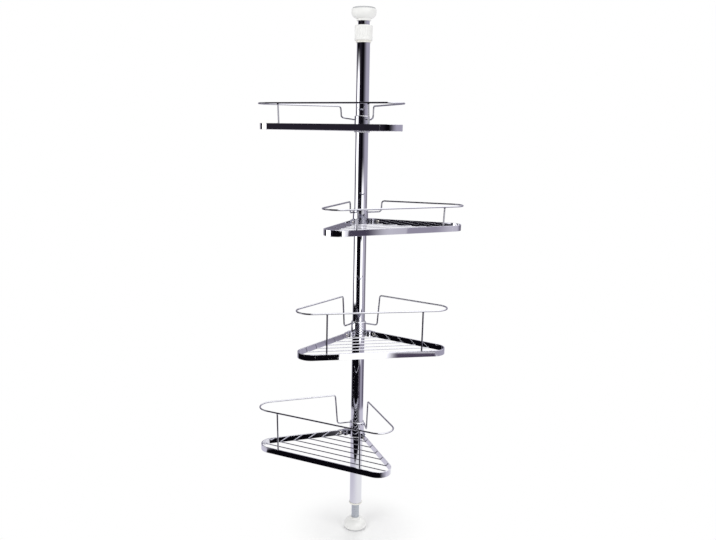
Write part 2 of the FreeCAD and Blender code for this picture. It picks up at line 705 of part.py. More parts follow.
def build_shelves():
    strip = frame_strip()
    wires = floor_wires()
    pin = rivet()
    wedge_left, wedge_right = wedge_halves()
    height = TUBE_TOP
    for name, step, turn, rail_height in SHELVES:
        height -= step
        rail = guard_rail(rail_height)
        pieces = {
            "strip": [strip],
            "floor_wires": wires,
            "guard_rail": [rail],
            "rail_posts": rail_posts(rail_height, rail),
            "collar": [collar(rail)],
            "rivets": [pin, mirrored(pin)],
            "wedge_left": [wedge_left],
            "wedge_right": [wedge_right],
        }
        for piece, solids in pieces.items():
            save("%s_%s" % (name, piece), *[placed(solid, height, turn) for solid in solids])


os.makedirs("parts", exist_ok=True)
build_pole()
build_shelves()
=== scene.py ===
"""Looks of a tension pole with four swivelling corner shelves, laid out as an add-on.

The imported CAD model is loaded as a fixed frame.  Each operator dresses one group of its parts with smooth
meshes and finishes, or sets up the studio.  Sizes are metres.  A shelf is drawn in its own frame first: the
pole's axis on the origin, the top edge of its flat strip at height 0 and its long front towards -Y.
"""

import math

import bmesh
import bpy
from bpy.props import FloatProperty, FloatVectorProperty, IntProperty, PointerProperty
from mathutils import Matrix, Vector


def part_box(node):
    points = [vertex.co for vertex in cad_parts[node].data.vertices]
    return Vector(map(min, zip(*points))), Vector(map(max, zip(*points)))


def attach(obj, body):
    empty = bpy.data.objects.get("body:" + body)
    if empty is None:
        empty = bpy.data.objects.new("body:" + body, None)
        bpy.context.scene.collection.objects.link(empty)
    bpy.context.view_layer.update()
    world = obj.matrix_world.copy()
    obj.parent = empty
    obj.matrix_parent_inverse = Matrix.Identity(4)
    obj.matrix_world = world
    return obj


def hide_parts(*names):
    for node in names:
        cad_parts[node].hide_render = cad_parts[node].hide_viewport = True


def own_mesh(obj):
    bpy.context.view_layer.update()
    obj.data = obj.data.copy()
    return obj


bl_info = {
    "name": "Tension Pole Shelves",
    "version": (1, 0, 0),
    "blender": (4, 5, 0),
    "location": "3D View > Sidebar > Tension Pole",
    "description": "Dresses a tension pole with four corner shelves and sets up its studio",
    "category": "Object",
}

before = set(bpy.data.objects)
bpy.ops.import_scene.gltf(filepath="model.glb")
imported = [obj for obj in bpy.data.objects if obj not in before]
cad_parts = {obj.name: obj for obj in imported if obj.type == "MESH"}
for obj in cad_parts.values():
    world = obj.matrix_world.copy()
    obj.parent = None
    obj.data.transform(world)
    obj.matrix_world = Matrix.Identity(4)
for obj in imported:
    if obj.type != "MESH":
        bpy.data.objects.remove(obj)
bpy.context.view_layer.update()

MM = 0.001
SHELF_COUNT = 4
# flat faces round the pole's axis in a turned mesh
AROUND = 128
# angle of a shelf's side strips to its middle plane; the right-hand one runs forwards along SIDE_WAY, and
# its outer face looks along SIDE_OUT
SIDE_ANGLE = math.radians(45)
SIDE_WAY = Vector((math.sin(SIDE_ANGLE), -math.cos(SIDE_ANGLE), 0))
SIDE_OUT = Vector((math.cos(SIDE_ANGLE), math.sin(SIDE_ANGLE), 0))


def linear(colour):
    """Linear RGB from an sRGB hex colour."""
    channels = [int(colour[n:n + 2], 16) / 255 for n in (1, 3, 5)]
    return tuple(c / 12.92 if c <= 0.04045 else ((c + 0.055) / 1.055) ** 2.4 for c in channels)


# ---------------------------------------------------------------- what the frame says
def radius_of(node):
    """Largest radius of a round CAD node about the pole's axis."""
    lowest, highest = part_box(node)
    return (highest.x - lowest.x) / 2


def heights_of(node):
    """Lowest and highest height of a CAD node."""
    lowest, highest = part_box(node)
    return lowest.z, highest.z


class Shelf:
    """One shelf's place in the frame, and the heights and reaches of its pieces in its own frame."""

    def __init__(self, number):
        self.name = "shelf_%d" % number
        self.wedge = "wedge_%d" % number
        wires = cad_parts[self.name + "_floor_wires"].data.vertices
        middle = sum((v.co for v in wires), Vector((0, 0, 0))) / len(wires)
        turn = math.atan2(middle.x, -middle.y)
        bottom, self.top = heights_of(self.name + "_strip")
        self.place = Matrix.Translation((0, 0, self.top)) @ Matrix.Rotation(turn, 4, "Z")
        self.strip_height = self.top - bottom
        self.front = self.reach("_strip")
        self.rail_front = self.reach("_guard_rail")
        self.rail_top = heights_of(self.name + "_guard_rail")[1] - self.top
        self.wedge_low, self.wedge_high = (z - self.top for z in heights_of(self.name + "_wedge_left"))

    def reach(self, piece):
        """How far a piece reaches to the front in the shelf's own frame."""
        back = self.place.inverted()
        return -min((back @ v.co).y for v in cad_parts[self.name + piece].data.vertices)


SHELVES = [Shelf(number) for number in range(1, SHELF_COUNT + 1)]


# ---------------------------------------------------------------- sizes and colours that a user would change
def size(name, description, millimetres):
    """A length property whose default is given in millimetres."""
    return FloatProperty(
        name=name, description=description, default=millimetres * MM, unit="LENGTH", precision=5, min=0.0)


def colour(name, description, hexadecimal):
    """A colour property whose default is an sRGB hex colour."""
    return FloatVectorProperty(
        name=name, description=description, default=linear(hexadecimal), subtype="COLOR", size=3, min=0.0,
        max=1.0)


class PoleSizes(bpy.types.PropertyGroup):
    """Sizes of the pole and its end fittings."""

    tube_wall: size("Outer tube wall", "Wall of the two outer tubes", 1.0)
    inner_wall: size("Inner tube wall", "Wall of the telescope's inner tube", 0.8)
    tube_edge: size("Tube edge", "Rounding of the tubes' cut ends, outside", 0.3)
    bore_edge: size("Bore edge", "Rounding of the tubes' cut ends, inside", 0.1)
    pin_radius: size("Pin radius", "Radius of the spring seat's cross pin", 1.5)
    pin_proud: size("Pin height", "How far the pin's domed ends stand out of the tube", 0.25)
    skirt: size("Cup skirt", "Straight height of an end cup's skirt", 5.0)
    dome: size("Cup dome", "Height of an end cup's domed shoulder", 12.0)
    neck_wall: size("Cup neck wall", "Wall round an end cup's socket", 2.5)
    cup_floor: size("Cup floor", "Thickness between an end cup's socket and its pad", 3.0)
    cup_edge: size("Cup edge", "Rounding of an end cup's moulded edges", 0.8)
    pad_edge: size("Pad edge", "Rounding of a pad's rim", 1.0)
    tread_depth: size("Tread depth", "Depth of the ring grooves in a pad's face", 0.6)
    tread_pitch: size("Tread pitch", "Distance from one ring groove to the next", 3.2)
    stem_tip: size("Stem tip", "Radius of the foot stem's tip, which centres the spring", 6.8)
    flange_height: size("Bush flange", "Height of the foot bush's flange below the tube", 3.0)
    running_gap: size("Running gap", "Gap between a moulded bore and the stem or tube in it", 0.05)
    flutes: IntProperty(name="Nut flutes", description="Grip flutes round the lock nut", default=18, min=3)
    flute_depth: size("Flute depth", "Depth of a grip flute", 0.8)
    flute_margin: size("Flute margin", "Plain height above and below the flutes", 4.0)
    nut_edge: size("Nut edge", "Rounding of the nut's lower edge; its upper edge has twice as much", 1.0)
    nut_wall: size("Nut wall", "Wall of the nut round its thread", 2.8)
    nut_lip: size("Nut lip", "Height of the lip that closes the nut's top", 3.0)
    nut_gap: size("Nut gap", "Gap between the nut's lip and the inner tube", 0.3)


class ShelfSizes(bpy.types.PropertyGroup):
    """Sizes of the shelves."""

    strip_thickness: size("Strip thickness", "Thickness of the flat strip", 2.0)
    strip_edge: size("Strip edge", "Rounding of the strip's rolled edges", 0.3)
    strip_end_round: size("Strip end", "Rounding of the strip's ends, seen from the side", 5.0)
    strip_start: size("Strip start", "Where the strip's end lies along the side", 28.33)
    side_offset: size("Side offset", "From the pole's axis out to the side strip's outer face", 5.3)
    corner_radius: size("Corner radius", "Outer radius of the front corners", 25.5)
    wire_radius: size("Wire radius", "Radius of the guard rail and its posts", 1.5)
    floor_wire_radius: size("Floor wire radius", "Radius of the floor's wires", 1.0)
    weld_swell: FloatProperty(
        name="Weld swell", description="How much a wire swells at its welded ends", default=1.3, min=1.0,
        max=2.0)
    weld_length: size("Weld length", "Length of wire that swells at a weld", 1.6)
    floor_first: size("First floor wire", "From the pole's axis to the first floor wire", 29.0)
    floor_pitch: size("Floor pitch", "From one floor wire to the next", 20.6)
    floor_margin: size("Floor margin", "Least clear width between the last wire and the front strip", 6.0)
    post_inset: size("Post inset", "From a corner's bend to the rail post", 24.5)
    rail_flare: size("Rail flare", "How far the guard rail stands outside the strip", 1.7)
    drop_reach: size("Drop reach", "Where the rail's drop beside the pole ends, along the side", 39.8)
    drop_lean: FloatProperty(
        name="Drop lean", description="How far the drop leans away from the pole", default=math.radians(5),
        subtype="ANGLE", unit="ROTATION")
    drop_foot: size("Drop foot", "Height at which the rail turns in to the pole", 14.0)
    drop_top_bend: size("Top bend", "Radius of the rail's bend above the drop", 5.0)
    drop_foot_bend: size("Foot bend", "Radius of the rail's bend below the drop", 6.0)
    tail_height: size("Tail height", "Height of the rail's tail behind the collar", 11.0)
    tail_radius: size("Tail radius", "Radius of the tail round the collar's back", 15.92)
    tail_knee: size("Tail knee", "Level run of the tail before it meets the collar", 8.0)
    tail_knee_bend: size("Knee bend", "Radius of the bend into the tail", 15.0)
    rivet_reach: size("Rivet reach", "Where the rivet lies along the side", 34.33)
    ear_thickness: size("Ear thickness", "Thickness of the collar's ear outside the strip", 2.5)
    rivet_head: size("Rivet head", "Radius of a rivet's head", 3.3)
    rivet_dome: size("Rivet dome", "Height of a rivet's head", 1.5)
    rivet_shank: size("Rivet shank", "Radius of a rivet's shank", 2.0)
    rivet_dimple: size("Rivet dimple", "Radius of the dimple in a rivet's inner head", 1.1)
    wedge_split: size("Wedge split", "Gap between the two halves of a wedge", 0.8)
    wedge_flange: size("Wedge flange", "Height of the flange under the collar", 1.4)
    wedge_reach: size("Flange reach", "How far that flange stands out from the pole", 2.5)
    wedge_bottom_wall: size("Wedge foot wall", "Wall of the wedge just above its flange", 1.85)
    wedge_top_wall: size("Wedge top wall", "Wall of the wedge at its top", 0.71)


class Finishes(bpy.types.PropertyGroup):
    """Colours of the finishes."""

    chrome: colour("Chrome", "Bright chrome plating", "#D2D2D8")
    # the wire chrome's darker tint is painted shade, not thinner plating: it darkens every reflection in the
    # wires
    shaded_wire_chrome: colour("Wire chrome", "Thinner chrome plating on wire", "#B2B2B8")
    nickel: colour("Nickel", "Plated rivets", "#BEBBB6")
    zinc: colour("Zinc", "Clear zinc plating on hidden steel", "#B4B9BF")
    spring_steel: colour("Spring steel", "Oiled spring wire", "#55524F")
    white_abs: colour("White ABS", "Moulded nut and end cups", "#F1F1EF")
    white_nylon: colour("White nylon", "Moulded bush, seat and ring", "#ECEAE3")
    grey_nylon: colour("Grey nylon", "Moulded wedges", "#B9B9BD")
    rubber: colour("Rubber", "Moulded pads", "#C4C5C7")


class Studio(bpy.types.PropertyGroup):
    """Camera and light of the studio."""

    camera_distance: FloatProperty(
        name="Camera distance", description="From the pole's axis to the camera", default=1.45327,
        unit="LENGTH")
    camera_height: FloatProperty(
        name="Camera height", description="Height of the camera", default=0.81903, unit="LENGTH")
    camera_down: FloatProperty(
        name="Look down", description="Angle that the camera looks down", default=math.radians(10.337),
        subtype="ANGLE", unit="ROTATION")
    camera_left: FloatProperty(
        name="Look left", description="Angle that the camera looks to the left", default=math.radians(0.118),
        subtype="ANGLE", unit="ROTATION")
    camera_roll: FloatProperty(
        name="Roll", description="Angle that the camera is rolled", default=math.radians(0.985),
        subtype="ANGLE", unit="ROTATION")
    lens: FloatProperty(
        name="Lens", description="Focal length for a 36 mm wide sensor", default=37.26,
        subtype="DISTANCE_CAMERA")
    ambient: FloatProperty(name="Ambient", description="Level of the even light", default=0.62, min=0.0)
    lamps: FloatProperty(name="Lamps", description="Level of the soft lamps", default=1.0, min=0.0)


def pole_sizes():
    return bpy.context.scene.tension_pole_sizes


def shelf_sizes():
    return bpy.context.scene.tension_shelf_sizes


def finishes():
    return bpy.context.scene.tension_pole_finishes


# ---------------------------------------------------------------- nodes
def add(tree, kind, settings=None, links=None):
    """Adds a node, sets its properties and inputs, and links other nodes' outputs to its inputs.  In a mix
    of colours, input 0 is the share, 6 and 7 are the two colours, and output 2 is the result."""
    node = tree.nodes.new(kind)
    for name, value in (settings or {}).items():
        if isinstance(name, str) and hasattr(node, name):
            setattr(node, name, value)
        else:
            node.inputs[name].default_value = value
    for name, source in (links or {}).items():
        tree.links.new(source, node.inputs[name])
    return node


def new_surface(name):
    """A new node material and its one surface shader."""
    material = bpy.data.materials.new(name)
    material.use_nodes = True
    surface = material.node_tree.nodes["Principled BSDF"]
    return material, material.node_tree, surface


def grain(tree, pitch, detail, source=None):
    """Noise in the piece's own coordinates; pitch is the marks' spacing along X, Y and Z in millimetres."""
    place = source or add(tree, "ShaderNodeTexCoord").outputs["Object"]
    scale = [1 / (spacing * MM) for spacing in pitch]
    stretched = add(tree, "ShaderNodeMapping", {"Scale": scale}, {"Vector": place}).outputs["Vector"]
    settings = {"Scale": 1.0, "Detail": detail}
    return add(tree, "ShaderNodeTexNoise", settings, {"Vector": stretched}).outputs["Fac"]


def spread(tree, source, low, high):
    """Maps noise, most of which lies between 0.3 and 0.7, to a range."""
    limits = {"From Min": 0.3, "From Max": 0.7, "To Min": low, "To Max": high}
    return add(tree, "ShaderNodeMapRange", limits, {"Value": source}).outputs["Result"]


def relief(tree, source, depth, under=None):
    """A bump of a depth in metres, over an earlier one if there is one."""
    links = {"Height": source}
    if under:
        links["Normal"] = under
    return add(tree, "ShaderNodeBump", {"Distance": depth, "Strength": 1.0}, links).outputs["Normal"]


# ---------------------------------------------------------------- finishes
# marks, waves, clouds and textures have pitches in millimetres.  Real polishing marks, drawing marks and
# moulded textures are a tenth of a millimetre apart or less, and are drawn as coarse as they need to be to
# show
def chromed(name, tint, marks, rough, waves, depth):
    """Bright nickel-chrome plating: mirror-like, with faint polishing marks and the base metal's waves."""
    material, tree, surface = new_surface(name)
    surface.inputs["Metallic"].default_value = 1.0
    surface.inputs["Base Color"].default_value = (*tint, 1.0)
    tree.links.new(spread(tree, grain(tree, marks, 3.0), *rough), surface.inputs["Roughness"])
    tree.links.new(relief(tree, grain(tree, waves, 1.0), depth), surface.inputs["Normal"])
    return material


def chromed_tube():
    """Chrome on welded steel tube: belt-polished lengthwise, so its marks and waves are long and thin."""
    return chromed("bright_chrome_on_steel_tube", finishes().chrome, marks=(1.11, 1.11, 25),
                   rough=(0.015, 0.03), waves=(16.67, 16.67, 100), depth=0.01 * MM)


def chromed_strip():
    """Chrome on flat rolled strip: flat faces, with ripples across the strip where it was bent."""
    material = chromed("bright_chrome_on_rolled_strip", finishes().chrome, marks=(2, 2, 2),
                       rough=(0.01, 0.025), waves=(33.33, 33.33, 33.33), depth=0.008 * MM)
    tree = material.node_tree
    normal = tree.nodes["Principled BSDF"].inputs["Normal"]
    along = add(tree, "ShaderNodeAttribute", {"attribute_name": "along"}).outputs["Fac"]
    bend = add(tree, "ShaderNodeAttribute", {"attribute_name": "bend"}).outputs["Fac"]
    place = add(tree, "ShaderNodeCombineXYZ", links={"X": along}).outputs["Vector"]
    # ripples about 4 mm apart along the strip, and only where it is bent
    ripples = grain(tree, (4.167, 1000, 1000), 0.0, place)
    bent = add(tree, "ShaderNodeMath", {"operation": "GREATER_THAN", 1: 1 * MM}, {0: bend}).outputs["Value"]
    height = add(tree, "ShaderNodeMath", {"operation": "MULTIPLY"}, {0: ripples, 1: bent}).outputs["Value"]
    tree.links.new(relief(tree, height, 0.03 * MM, normal.links[0].from_socket), normal)
    return material


def chromed_wire():
    """Chrome on drawn steel wire: slightly duller than the tube, with short drawing marks.  Its tint is
    darker than the tube's: painted shade, which darkens every reflection in the wires.
    """
    return chromed("bright_chrome_on_drawn_wire", finishes().shaded_wire_chrome, marks=(1.667, 1.667, 1.667),
                   rough=(0.03, 0.06), waves=(8.333, 8.333, 8.333), depth=0.01 * MM)


def chromed_casting():
    """Chrome on a zinc die casting: a faint orange peel about 1.5 mm across under the plating."""
    return chromed("bright_chrome_on_zinc_casting", finishes().chrome, marks=(1.25, 1.25, 1.25),
                   rough=(0.015, 0.035), waves=(3.03, 3.03, 3.03), depth=0.002 * MM)


def plain(name, tint, shade, clouds, marks, rough, depth, metallic=0.0):
    """A plain material.  In clouds its colour falls to a share of itself, the shade, and its gloss and
    relief follow its marks.  Clouds and marks are each a pitch and a detail for the noise."""
    material, tree, surface = new_surface(name)
    surface.inputs["Metallic"].default_value = metallic
    darker = [shade * channel for channel in tint]
    cloud = spread(tree, grain(tree, *clouds), 0.0, 1.0)
    blend = add(tree, "ShaderNodeMix", {"data_type": "RGBA", 6: (*darker, 1.0), 7: (*tint, 1.0)}, {0: cloud})
    tree.links.new(blend.outputs[2], surface.inputs["Base Color"])
    fine = grain(tree, *marks)
    tree.links.new(spread(tree, fine, *rough), surface.inputs["Roughness"])
    tree.links.new(relief(tree, fine, depth), surface.inputs["Normal"])
    return material


def metal(name, tint, pitch, rough, depth):
    """A plain metal whose colour follows its own marks."""
    return plain(name, tint, 0.86, (pitch, 4.0), (pitch, 4.0), rough, depth, metallic=1.0)


def nickel_rivet():
    """Nickel-plated rivet steel: satin, with small marks from the riveting die."""
    return metal("nickel_on_rivet_steel", finishes().nickel, (1.11, 1.11, 1.11), (0.14, 0.30), 0.02 * MM)


def zinc_plate():
    """Clear zinc plate on turned steel: greyish satin with a faint cloudy bloom."""
    return metal("clear_zinc_on_turned_steel", finishes().zinc, (3.85, 3.85, 1.43), (0.22, 0.42), 0.01 * MM)


def oiled_spring_wire():
    """Oil-tempered spring wire: dark, with a broken oily gloss."""
    return metal("oil_tempered_spring_wire", finishes().spring_steel, (2, 2, 2), (0.25, 0.50), 0.02 * MM)


def moulded(name, tint, texture, rough, depth, shade=0.96):
    """A moulded plastic or rubber: a spark-eroded texture, uneven gloss and barely uneven colour."""
    return plain(name, tint, shade, ((16.67,) * 3, 2.0), ((texture,) * 3, 3.0), rough, depth)


def white_abs():
    """White ABS, injection moulded: a satin texture about 0.7 mm across."""
    return moulded("moulded_white_abs", finishes().white_abs, 0.714, (0.34, 0.48), 0.02 * MM)


def white_nylon():
    """Natural nylon, injection moulded: waxy and a little yellower than ABS."""
    return moulded("moulded_natural_nylon", finishes().white_nylon, 1.11, (0.30, 0.42), 0.01 * MM)


def grey_nylon():
    """Grey nylon, injection moulded: a matt texture that grips the tube."""
    return moulded("moulded_grey_nylon", finishes().grey_nylon, 0.625, (0.40, 0.55), 0.02 * MM)


def pad_rubber():
    """Grey thermoplastic rubber, moulded: dull, with coarse pits about 1 mm across."""
    return moulded("moulded_grey_rubber", finishes().rubber, 1.0, (0.70, 0.88), 0.06 * MM, shade=0.90)


# ---------------------------------------------------------------- meshes
def rounded(corners, steps=6):
    """A closed profile of (radius, height) points from corners of (radius, height, rounding)."""
    points = []
    for n, (radius, height, rounding) in enumerate(corners):
        here = Vector((radius, height))
        before = Vector(corners[n - 1][:2]) - here
        after = Vector(corners[(n + 1) % len(corners)][:2]) - here
        if rounding == 0:
            points.append(here)
            continue
        half = before.angle(after) / 2
        reach = min(rounding / math.tan(half), 0.49 * min(before.length, after.length))
        bend = reach * math.tan(half)
        start = here + before.normalized() * reach
        end = here + after.normalized() * reach
        middle = here + (before.normalized() + after.normalized()).normalized() * (bend / math.sin(half))
        for step in range(steps + 1):
            share = step / steps
            way = (start - middle).slerp(end - middle, share)
            points.append(middle + way.normalized() * bend)
    return points


def turned_mesh(name, profile, around=AROUND, carve=None, split=None):
    """A closed mesh of revolution about Z.  Carve gives a new radius from radius, height and angle.  With a
    split, it is only the half on the +X side, cut flat at half that gap from the middle plane."""
    on_axis = 1e-7
    bm = bmesh.new()
    rings = []
    count = around if split is None else around // 2 + 1
    for radius, height in profile:
        if radius < on_axis:
            rings.append([bm.verts.new((0, 0, height))] * count)
            continue
        ring = []
        for n in range(count):
            angle = math.tau * n / around
            if split is not None:
                first = math.asin(split / 2 / radius) - math.pi / 2
                angle = first - 2 * first * n / (count - 1)
            r = carve(radius, height, angle) if carve else radius
            ring.append(bm.verts.new((r * math.cos(angle), r * math.sin(angle), height)))
        rings.append(ring)
    for ring, following in zip(rings, rings[1:] + rings[:1]):
        for n in range(count if split is None else count - 1):
            after = (n + 1) % count
            corners = dict.fromkeys([ring[n], ring[after], following[after], following[n]])
            if len(corners) > 2:
                bm.faces.new(list(corners))
    if split is not None:
        for n in (0, -1):
            bm.faces.new([ring[n] for ring in rings])
    bmesh.ops.recalc_face_normals(bm, faces=bm.faces)
    mesh = bpy.data.meshes.new(name)
    bm.to_mesh(mesh)
    bm.free()
    return mesh


def path_mesh(name, lines):
    """Paths for the sweeping trees.  Each line is a closed flag and its points: a place, the bend's radius
    there, and a share of the wire's radius or of the strip's height."""
    places = []
    edges = []
    bends = []
    shares = []
    for closed, points in lines:
        first = len(places)
        for place, bend, share in points:
            places.append(place)
            bends.append(bend)
            shares.append(share)
        last = len(places) - 1
        edges += [(n, n + 1) for n in range(first, last)]
        if closed:
            edges.append((last, first))
    mesh = bpy.data.meshes.new(name)
    mesh.from_pydata(places, edges, [])
    mesh.attributes.new("bend", "FLOAT", "POINT").data.foreach_set("value", bends)
    mesh.attributes.new("share", "FLOAT", "POINT").data.foreach_set("value", shares)
    return mesh


def linked(name, mesh):
    """A new object of a mesh, in the scene."""
    obj = bpy.data.objects.new(name, mesh)
    bpy.context.scene.collection.objects.link(obj)
    return obj


def made_plain(obj):
    """Puts what an object's modifiers make in place of its mesh, and removes them."""
    graph = bpy.context.evaluated_depsgraph_get()
    mesh = bpy.data.meshes.new_from_object(obj.evaluated_get(graph), depsgraph=graph)
    obj.modifiers.clear()
    obj.data = mesh
    mesh.name = obj.name


def formed(name, path, tree, values):
    """Runs a Geometry Nodes tree on a path and keeps its result as a plain mesh."""
    obj = linked(name, path)
    modifier = obj.modifiers.new(tree.name, "NODES")
    modifier.node_group = tree
    for item in tree.interface.items_tree:
        if item.item_type == "SOCKET" and item.in_out == "INPUT" and item.name in values:
            modifier[item.identifier] = values[item.name]
    made_plain(obj)
    return obj


def smoothed(obj):
    """Smooth faces with sharp edges above an angle, and corner normals weighted to the larger faces."""
    sharp = math.radians(32)
    obj.data.shade_smooth()
    obj.data.set_sharp_from_angle(angle=sharp)
    modifier = obj.modifiers.new("corner normals", "WEIGHTED_NORMAL")
    modifier.keep_sharp = True
    made_plain(obj)


def fitted(obj, body, slot, *nodes, material=None, place=None):
    """Puts a finished piece in its place on its body, in place of its CAD nodes."""
    if place:
        obj.data.transform(place)
        obj.data.update()
    if material:
        obj.data.materials.clear()
        obj.data.materials.append(material)
    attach(obj, body)
    if nodes:
        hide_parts(*nodes)
    return obj


def turned_piece(name, corners, body, slot, node, material, around=AROUND, carve=None):
    """A round piece about the pole's axis, from the corners of its profile."""
    obj = linked(name, turned_mesh(name, rounded(corners), around, carve))
    smoothed(obj)
    return fitted(obj, body, slot, node, material=material)


def merged_copy(node):
    """A copy of a CAD node's mesh, its triangles joined up and its normals left to be worked out anew."""
    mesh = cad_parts[node].data.copy()
    bm = bmesh.new()
    bm.from_mesh(mesh)
    bmesh.ops.remove_doubles(bm, verts=bm.verts, dist=0.002 * MM)
    bm.to_mesh(mesh)
    bm.free()
    for attribute in ("custom_normal", "sharp_face", "sharp_edge"):
        if attribute in mesh.attributes:
            mesh.attributes.remove(mesh.attributes[attribute])
    return mesh


def new_tree(name, inputs):
    """A new Geometry Nodes tree with a path, named inputs and one shape as its result."""
    tree = bpy.data.node_groups.new(name, "GeometryNodeTree")
    for label, kind in [("Path", "Geometry")] + inputs:
        tree.interface.new_socket(label, in_out="INPUT", socket_type="NodeSocket" + kind)
    tree.interface.new_socket("Shape", in_out="OUTPUT", socket_type="NodeSocketGeometry")
    return tree, add(tree, "NodeGroupInput").outputs


def ending(tree, shape, material):
    """Ends a tree: instances realized, faces smooth, material set."""
    real = add(tree, "GeometryNodeRealizeInstances", links={"Geometry": shape})
    smooth = add(tree, "GeometryNodeSetShadeSmooth", {"Shade Smooth": True}, {0: real.outputs[0]}).outputs[0]
    painted = add(tree, "GeometryNodeSetMaterial", links={"Geometry": smooth, "Material": material})
    add(tree, "NodeGroupOutput", links={"Shape": painted.outputs[0]})


def bent_line(tree, given):
    """The path as a curve whose corners are rounded by their own bend radii, its length stored on it."""
    bend = add(tree, "GeometryNodeInputNamedAttribute", {"data_type": "FLOAT", "Name": "bend"}).outputs[0]
    line = add(tree, "GeometryNodeMeshToCurve", links={"Mesh": given["Path"]}).outputs[0]
    bent = add(tree, "GeometryNodeFilletCurve", {"mode": "POLY"},
               {"Curve": line, "Count": given["Bend Steps"], "Radius": bend}).outputs[0]
    length = add(tree, "GeometryNodeSplineParameter").outputs["Length"]
    settings = {"data_type": "FLOAT", "domain": "POINT", "Name": "along"}
    links = {"Geometry": bent, "Value": length}
    return add(tree, "GeometryNodeStoreNamedAttribute", settings, links).outputs[0]


def wire_tree():
    """Round wire along a path, swollen where it is welded."""
    tree, given = new_tree("round_wire", [
        ("Wire Radius", "Float"), ("Sides", "Int"), ("Bend Steps", "Int"), ("Finish", "Material")])
    swell = add(tree, "GeometryNodeInputNamedAttribute", {"data_type": "FLOAT", "Name": "share"}).outputs[0]
    section = add(tree, "GeometryNodeCurvePrimitiveCircle",
                  links={"Resolution": given["Sides"], "Radius": given["Wire Radius"]}).outputs[0]
    swept = add(tree, "GeometryNodeCurveToMesh", {"Fill Caps": True},
                {"Curve": bent_line(tree, given), "Profile Curve": section, "Scale": swell}).outputs[0]
    ending(tree, swept, given["Finish"])
    return tree


def strip_tree():
    """Flat strip on edge along a level path at height 0, its ends rounded by the share of the height that
    each point keeps."""
    tree, given = new_tree("bent_strip", [
        ("Height", "Float"), ("Thickness", "Float"), ("Edge", "Float"), ("Bend Steps", "Int"),
        ("Finish", "Material")])
    share = add(tree, "GeometryNodeInputNamedAttribute", {"data_type": "FLOAT", "Name": "share"}).outputs[0]
    line = bent_line(tree, given)
    level = add(tree, "GeometryNodeSetCurveNormal", {"mode": "Z_UP"}, {"Curve": line}).outputs[0]
    oblong = add(tree, "GeometryNodeCurvePrimitiveQuadrilateral",
                 links={"Width": given["Thickness"], "Height": given["Height"]}).outputs[0]
    section = add(tree, "GeometryNodeFilletCurve", {"mode": "POLY", "Count": 4},
                  {"Curve": oblong, "Radius": given["Edge"]}).outputs[0]
    swept = add(tree, "GeometryNodeCurveToMesh", {"Fill Caps": True},
                {"Curve": level, "Profile Curve": section}).outputs[0]
    place = add(tree, "GeometryNodeInputPosition").outputs[0]
    parts = add(tree, "ShaderNodeSeparateXYZ", links={0: place}).outputs
    height = add(tree, "ShaderNodeMath", {"operation": "MULTIPLY"}, {0: parts["Z"], 1: share}).outputs[0]
    moved = add(tree, "ShaderNodeCombineXYZ", links={"X": parts["X"], "Y": parts["Y"], "Z": height})
    ended = add(tree, "GeometryNodeSetPosition", links={"Geometry": swept, "Position": moved.outputs[0]})
    ending(tree, ended.outputs[0], given["Finish"])
    return tree


def rivet_tree():
    """One rivet on each point of the path, turned so that its axis follows the point's facing."""
    tree, given = new_tree("rivets", [("Rivet", "Object"), ("Finish", "Material")])
    facing = add(tree, "GeometryNodeInputNamedAttribute", {"data_type": "FLOAT_VECTOR", "Name": "facing"})
    turn = add(tree, "FunctionNodeAlignRotationToVector", {"axis": "Z"}, {"Vector": facing.outputs[0]})
    rivet = add(tree, "GeometryNodeObjectInfo", {"As Instance": True}, {"Object": given["Rivet"]})
    placed = add(tree, "GeometryNodeInstanceOnPoints", links={
        "Points": given["Path"], "Instance": rivet.outputs["Geometry"], "Rotation": turn.outputs[0]})
    ending(tree, placed.outputs[0], given["Finish"])
    return tree


# ---------------------------------------------------------------- a shelf's lines, in its own frame
def on_side(out, reach, height=0.0):
    """A point beside the right-hand side strip: out from the pole's axis, and reach along the strip."""
    return SIDE_OUT * out + SIDE_WAY * reach + Vector((0, 0, height))


def front_corner(out, front, height=0.0):
    """Where the right-hand side line, out from the axis, meets the front line."""
    return on_side(out, (front + out * math.sin(SIDE_ANGLE)) / math.cos(SIDE_ANGLE), height)


def other_side(point):
    """The same place on the left."""
    return Vector((-point.x, point.y, point.z))


def with_mirror(points):
    """A line's right half from the front backwards, made whole: left half first, reversed."""
    left = [(other_side(place), bend, share) for place, bend, share in points]
    return left[::-1] + points


def welded_line(start, end):
    """A straight wire between two welds, swollen towards both ends."""
    sizes = shelf_sizes()
    if (end - start).length < 2 * sizes.weld_length:
        raise ValueError("a wire is shorter than its two welds")

    def swollen(weld, way):
        """Points away from a weld, each a share of its length along, with a share of its swelling."""
        stations = ((0.0, 1.0), (0.25, 0.8), (0.6, 0.3), (1.0, 0.0))
        return [(weld + way * sizes.weld_length * far, 0.0, 1.0 + (sizes.weld_swell - 1.0) * swell)
                for far, swell in stations]

    way = (end - start).normalized()
    return swollen(start, way) + swollen(end, -way)[::-1]


def half_width(shelf, reach):
    """From the middle plane out to the strip's inner face, at a reach from the pole's axis to the front."""
    sizes = shelf_sizes()
    inner = sizes.side_offset - sizes.strip_thickness
    bend = sizes.corner_radius - sizes.strip_thickness
    middle_reach = shelf.front - sizes.strip_thickness - bend
    if reach < middle_reach - bend * math.sin(SIDE_ANGLE):
        return (inner + reach * math.sin(SIDE_ANGLE)) / math.cos(SIDE_ANGLE)
    middle_across = (inner - bend + middle_reach * math.sin(SIDE_ANGLE)) / math.cos(SIDE_ANGLE)
    return middle_across + math.sqrt(bend ** 2 - (reach - middle_reach) ** 2)


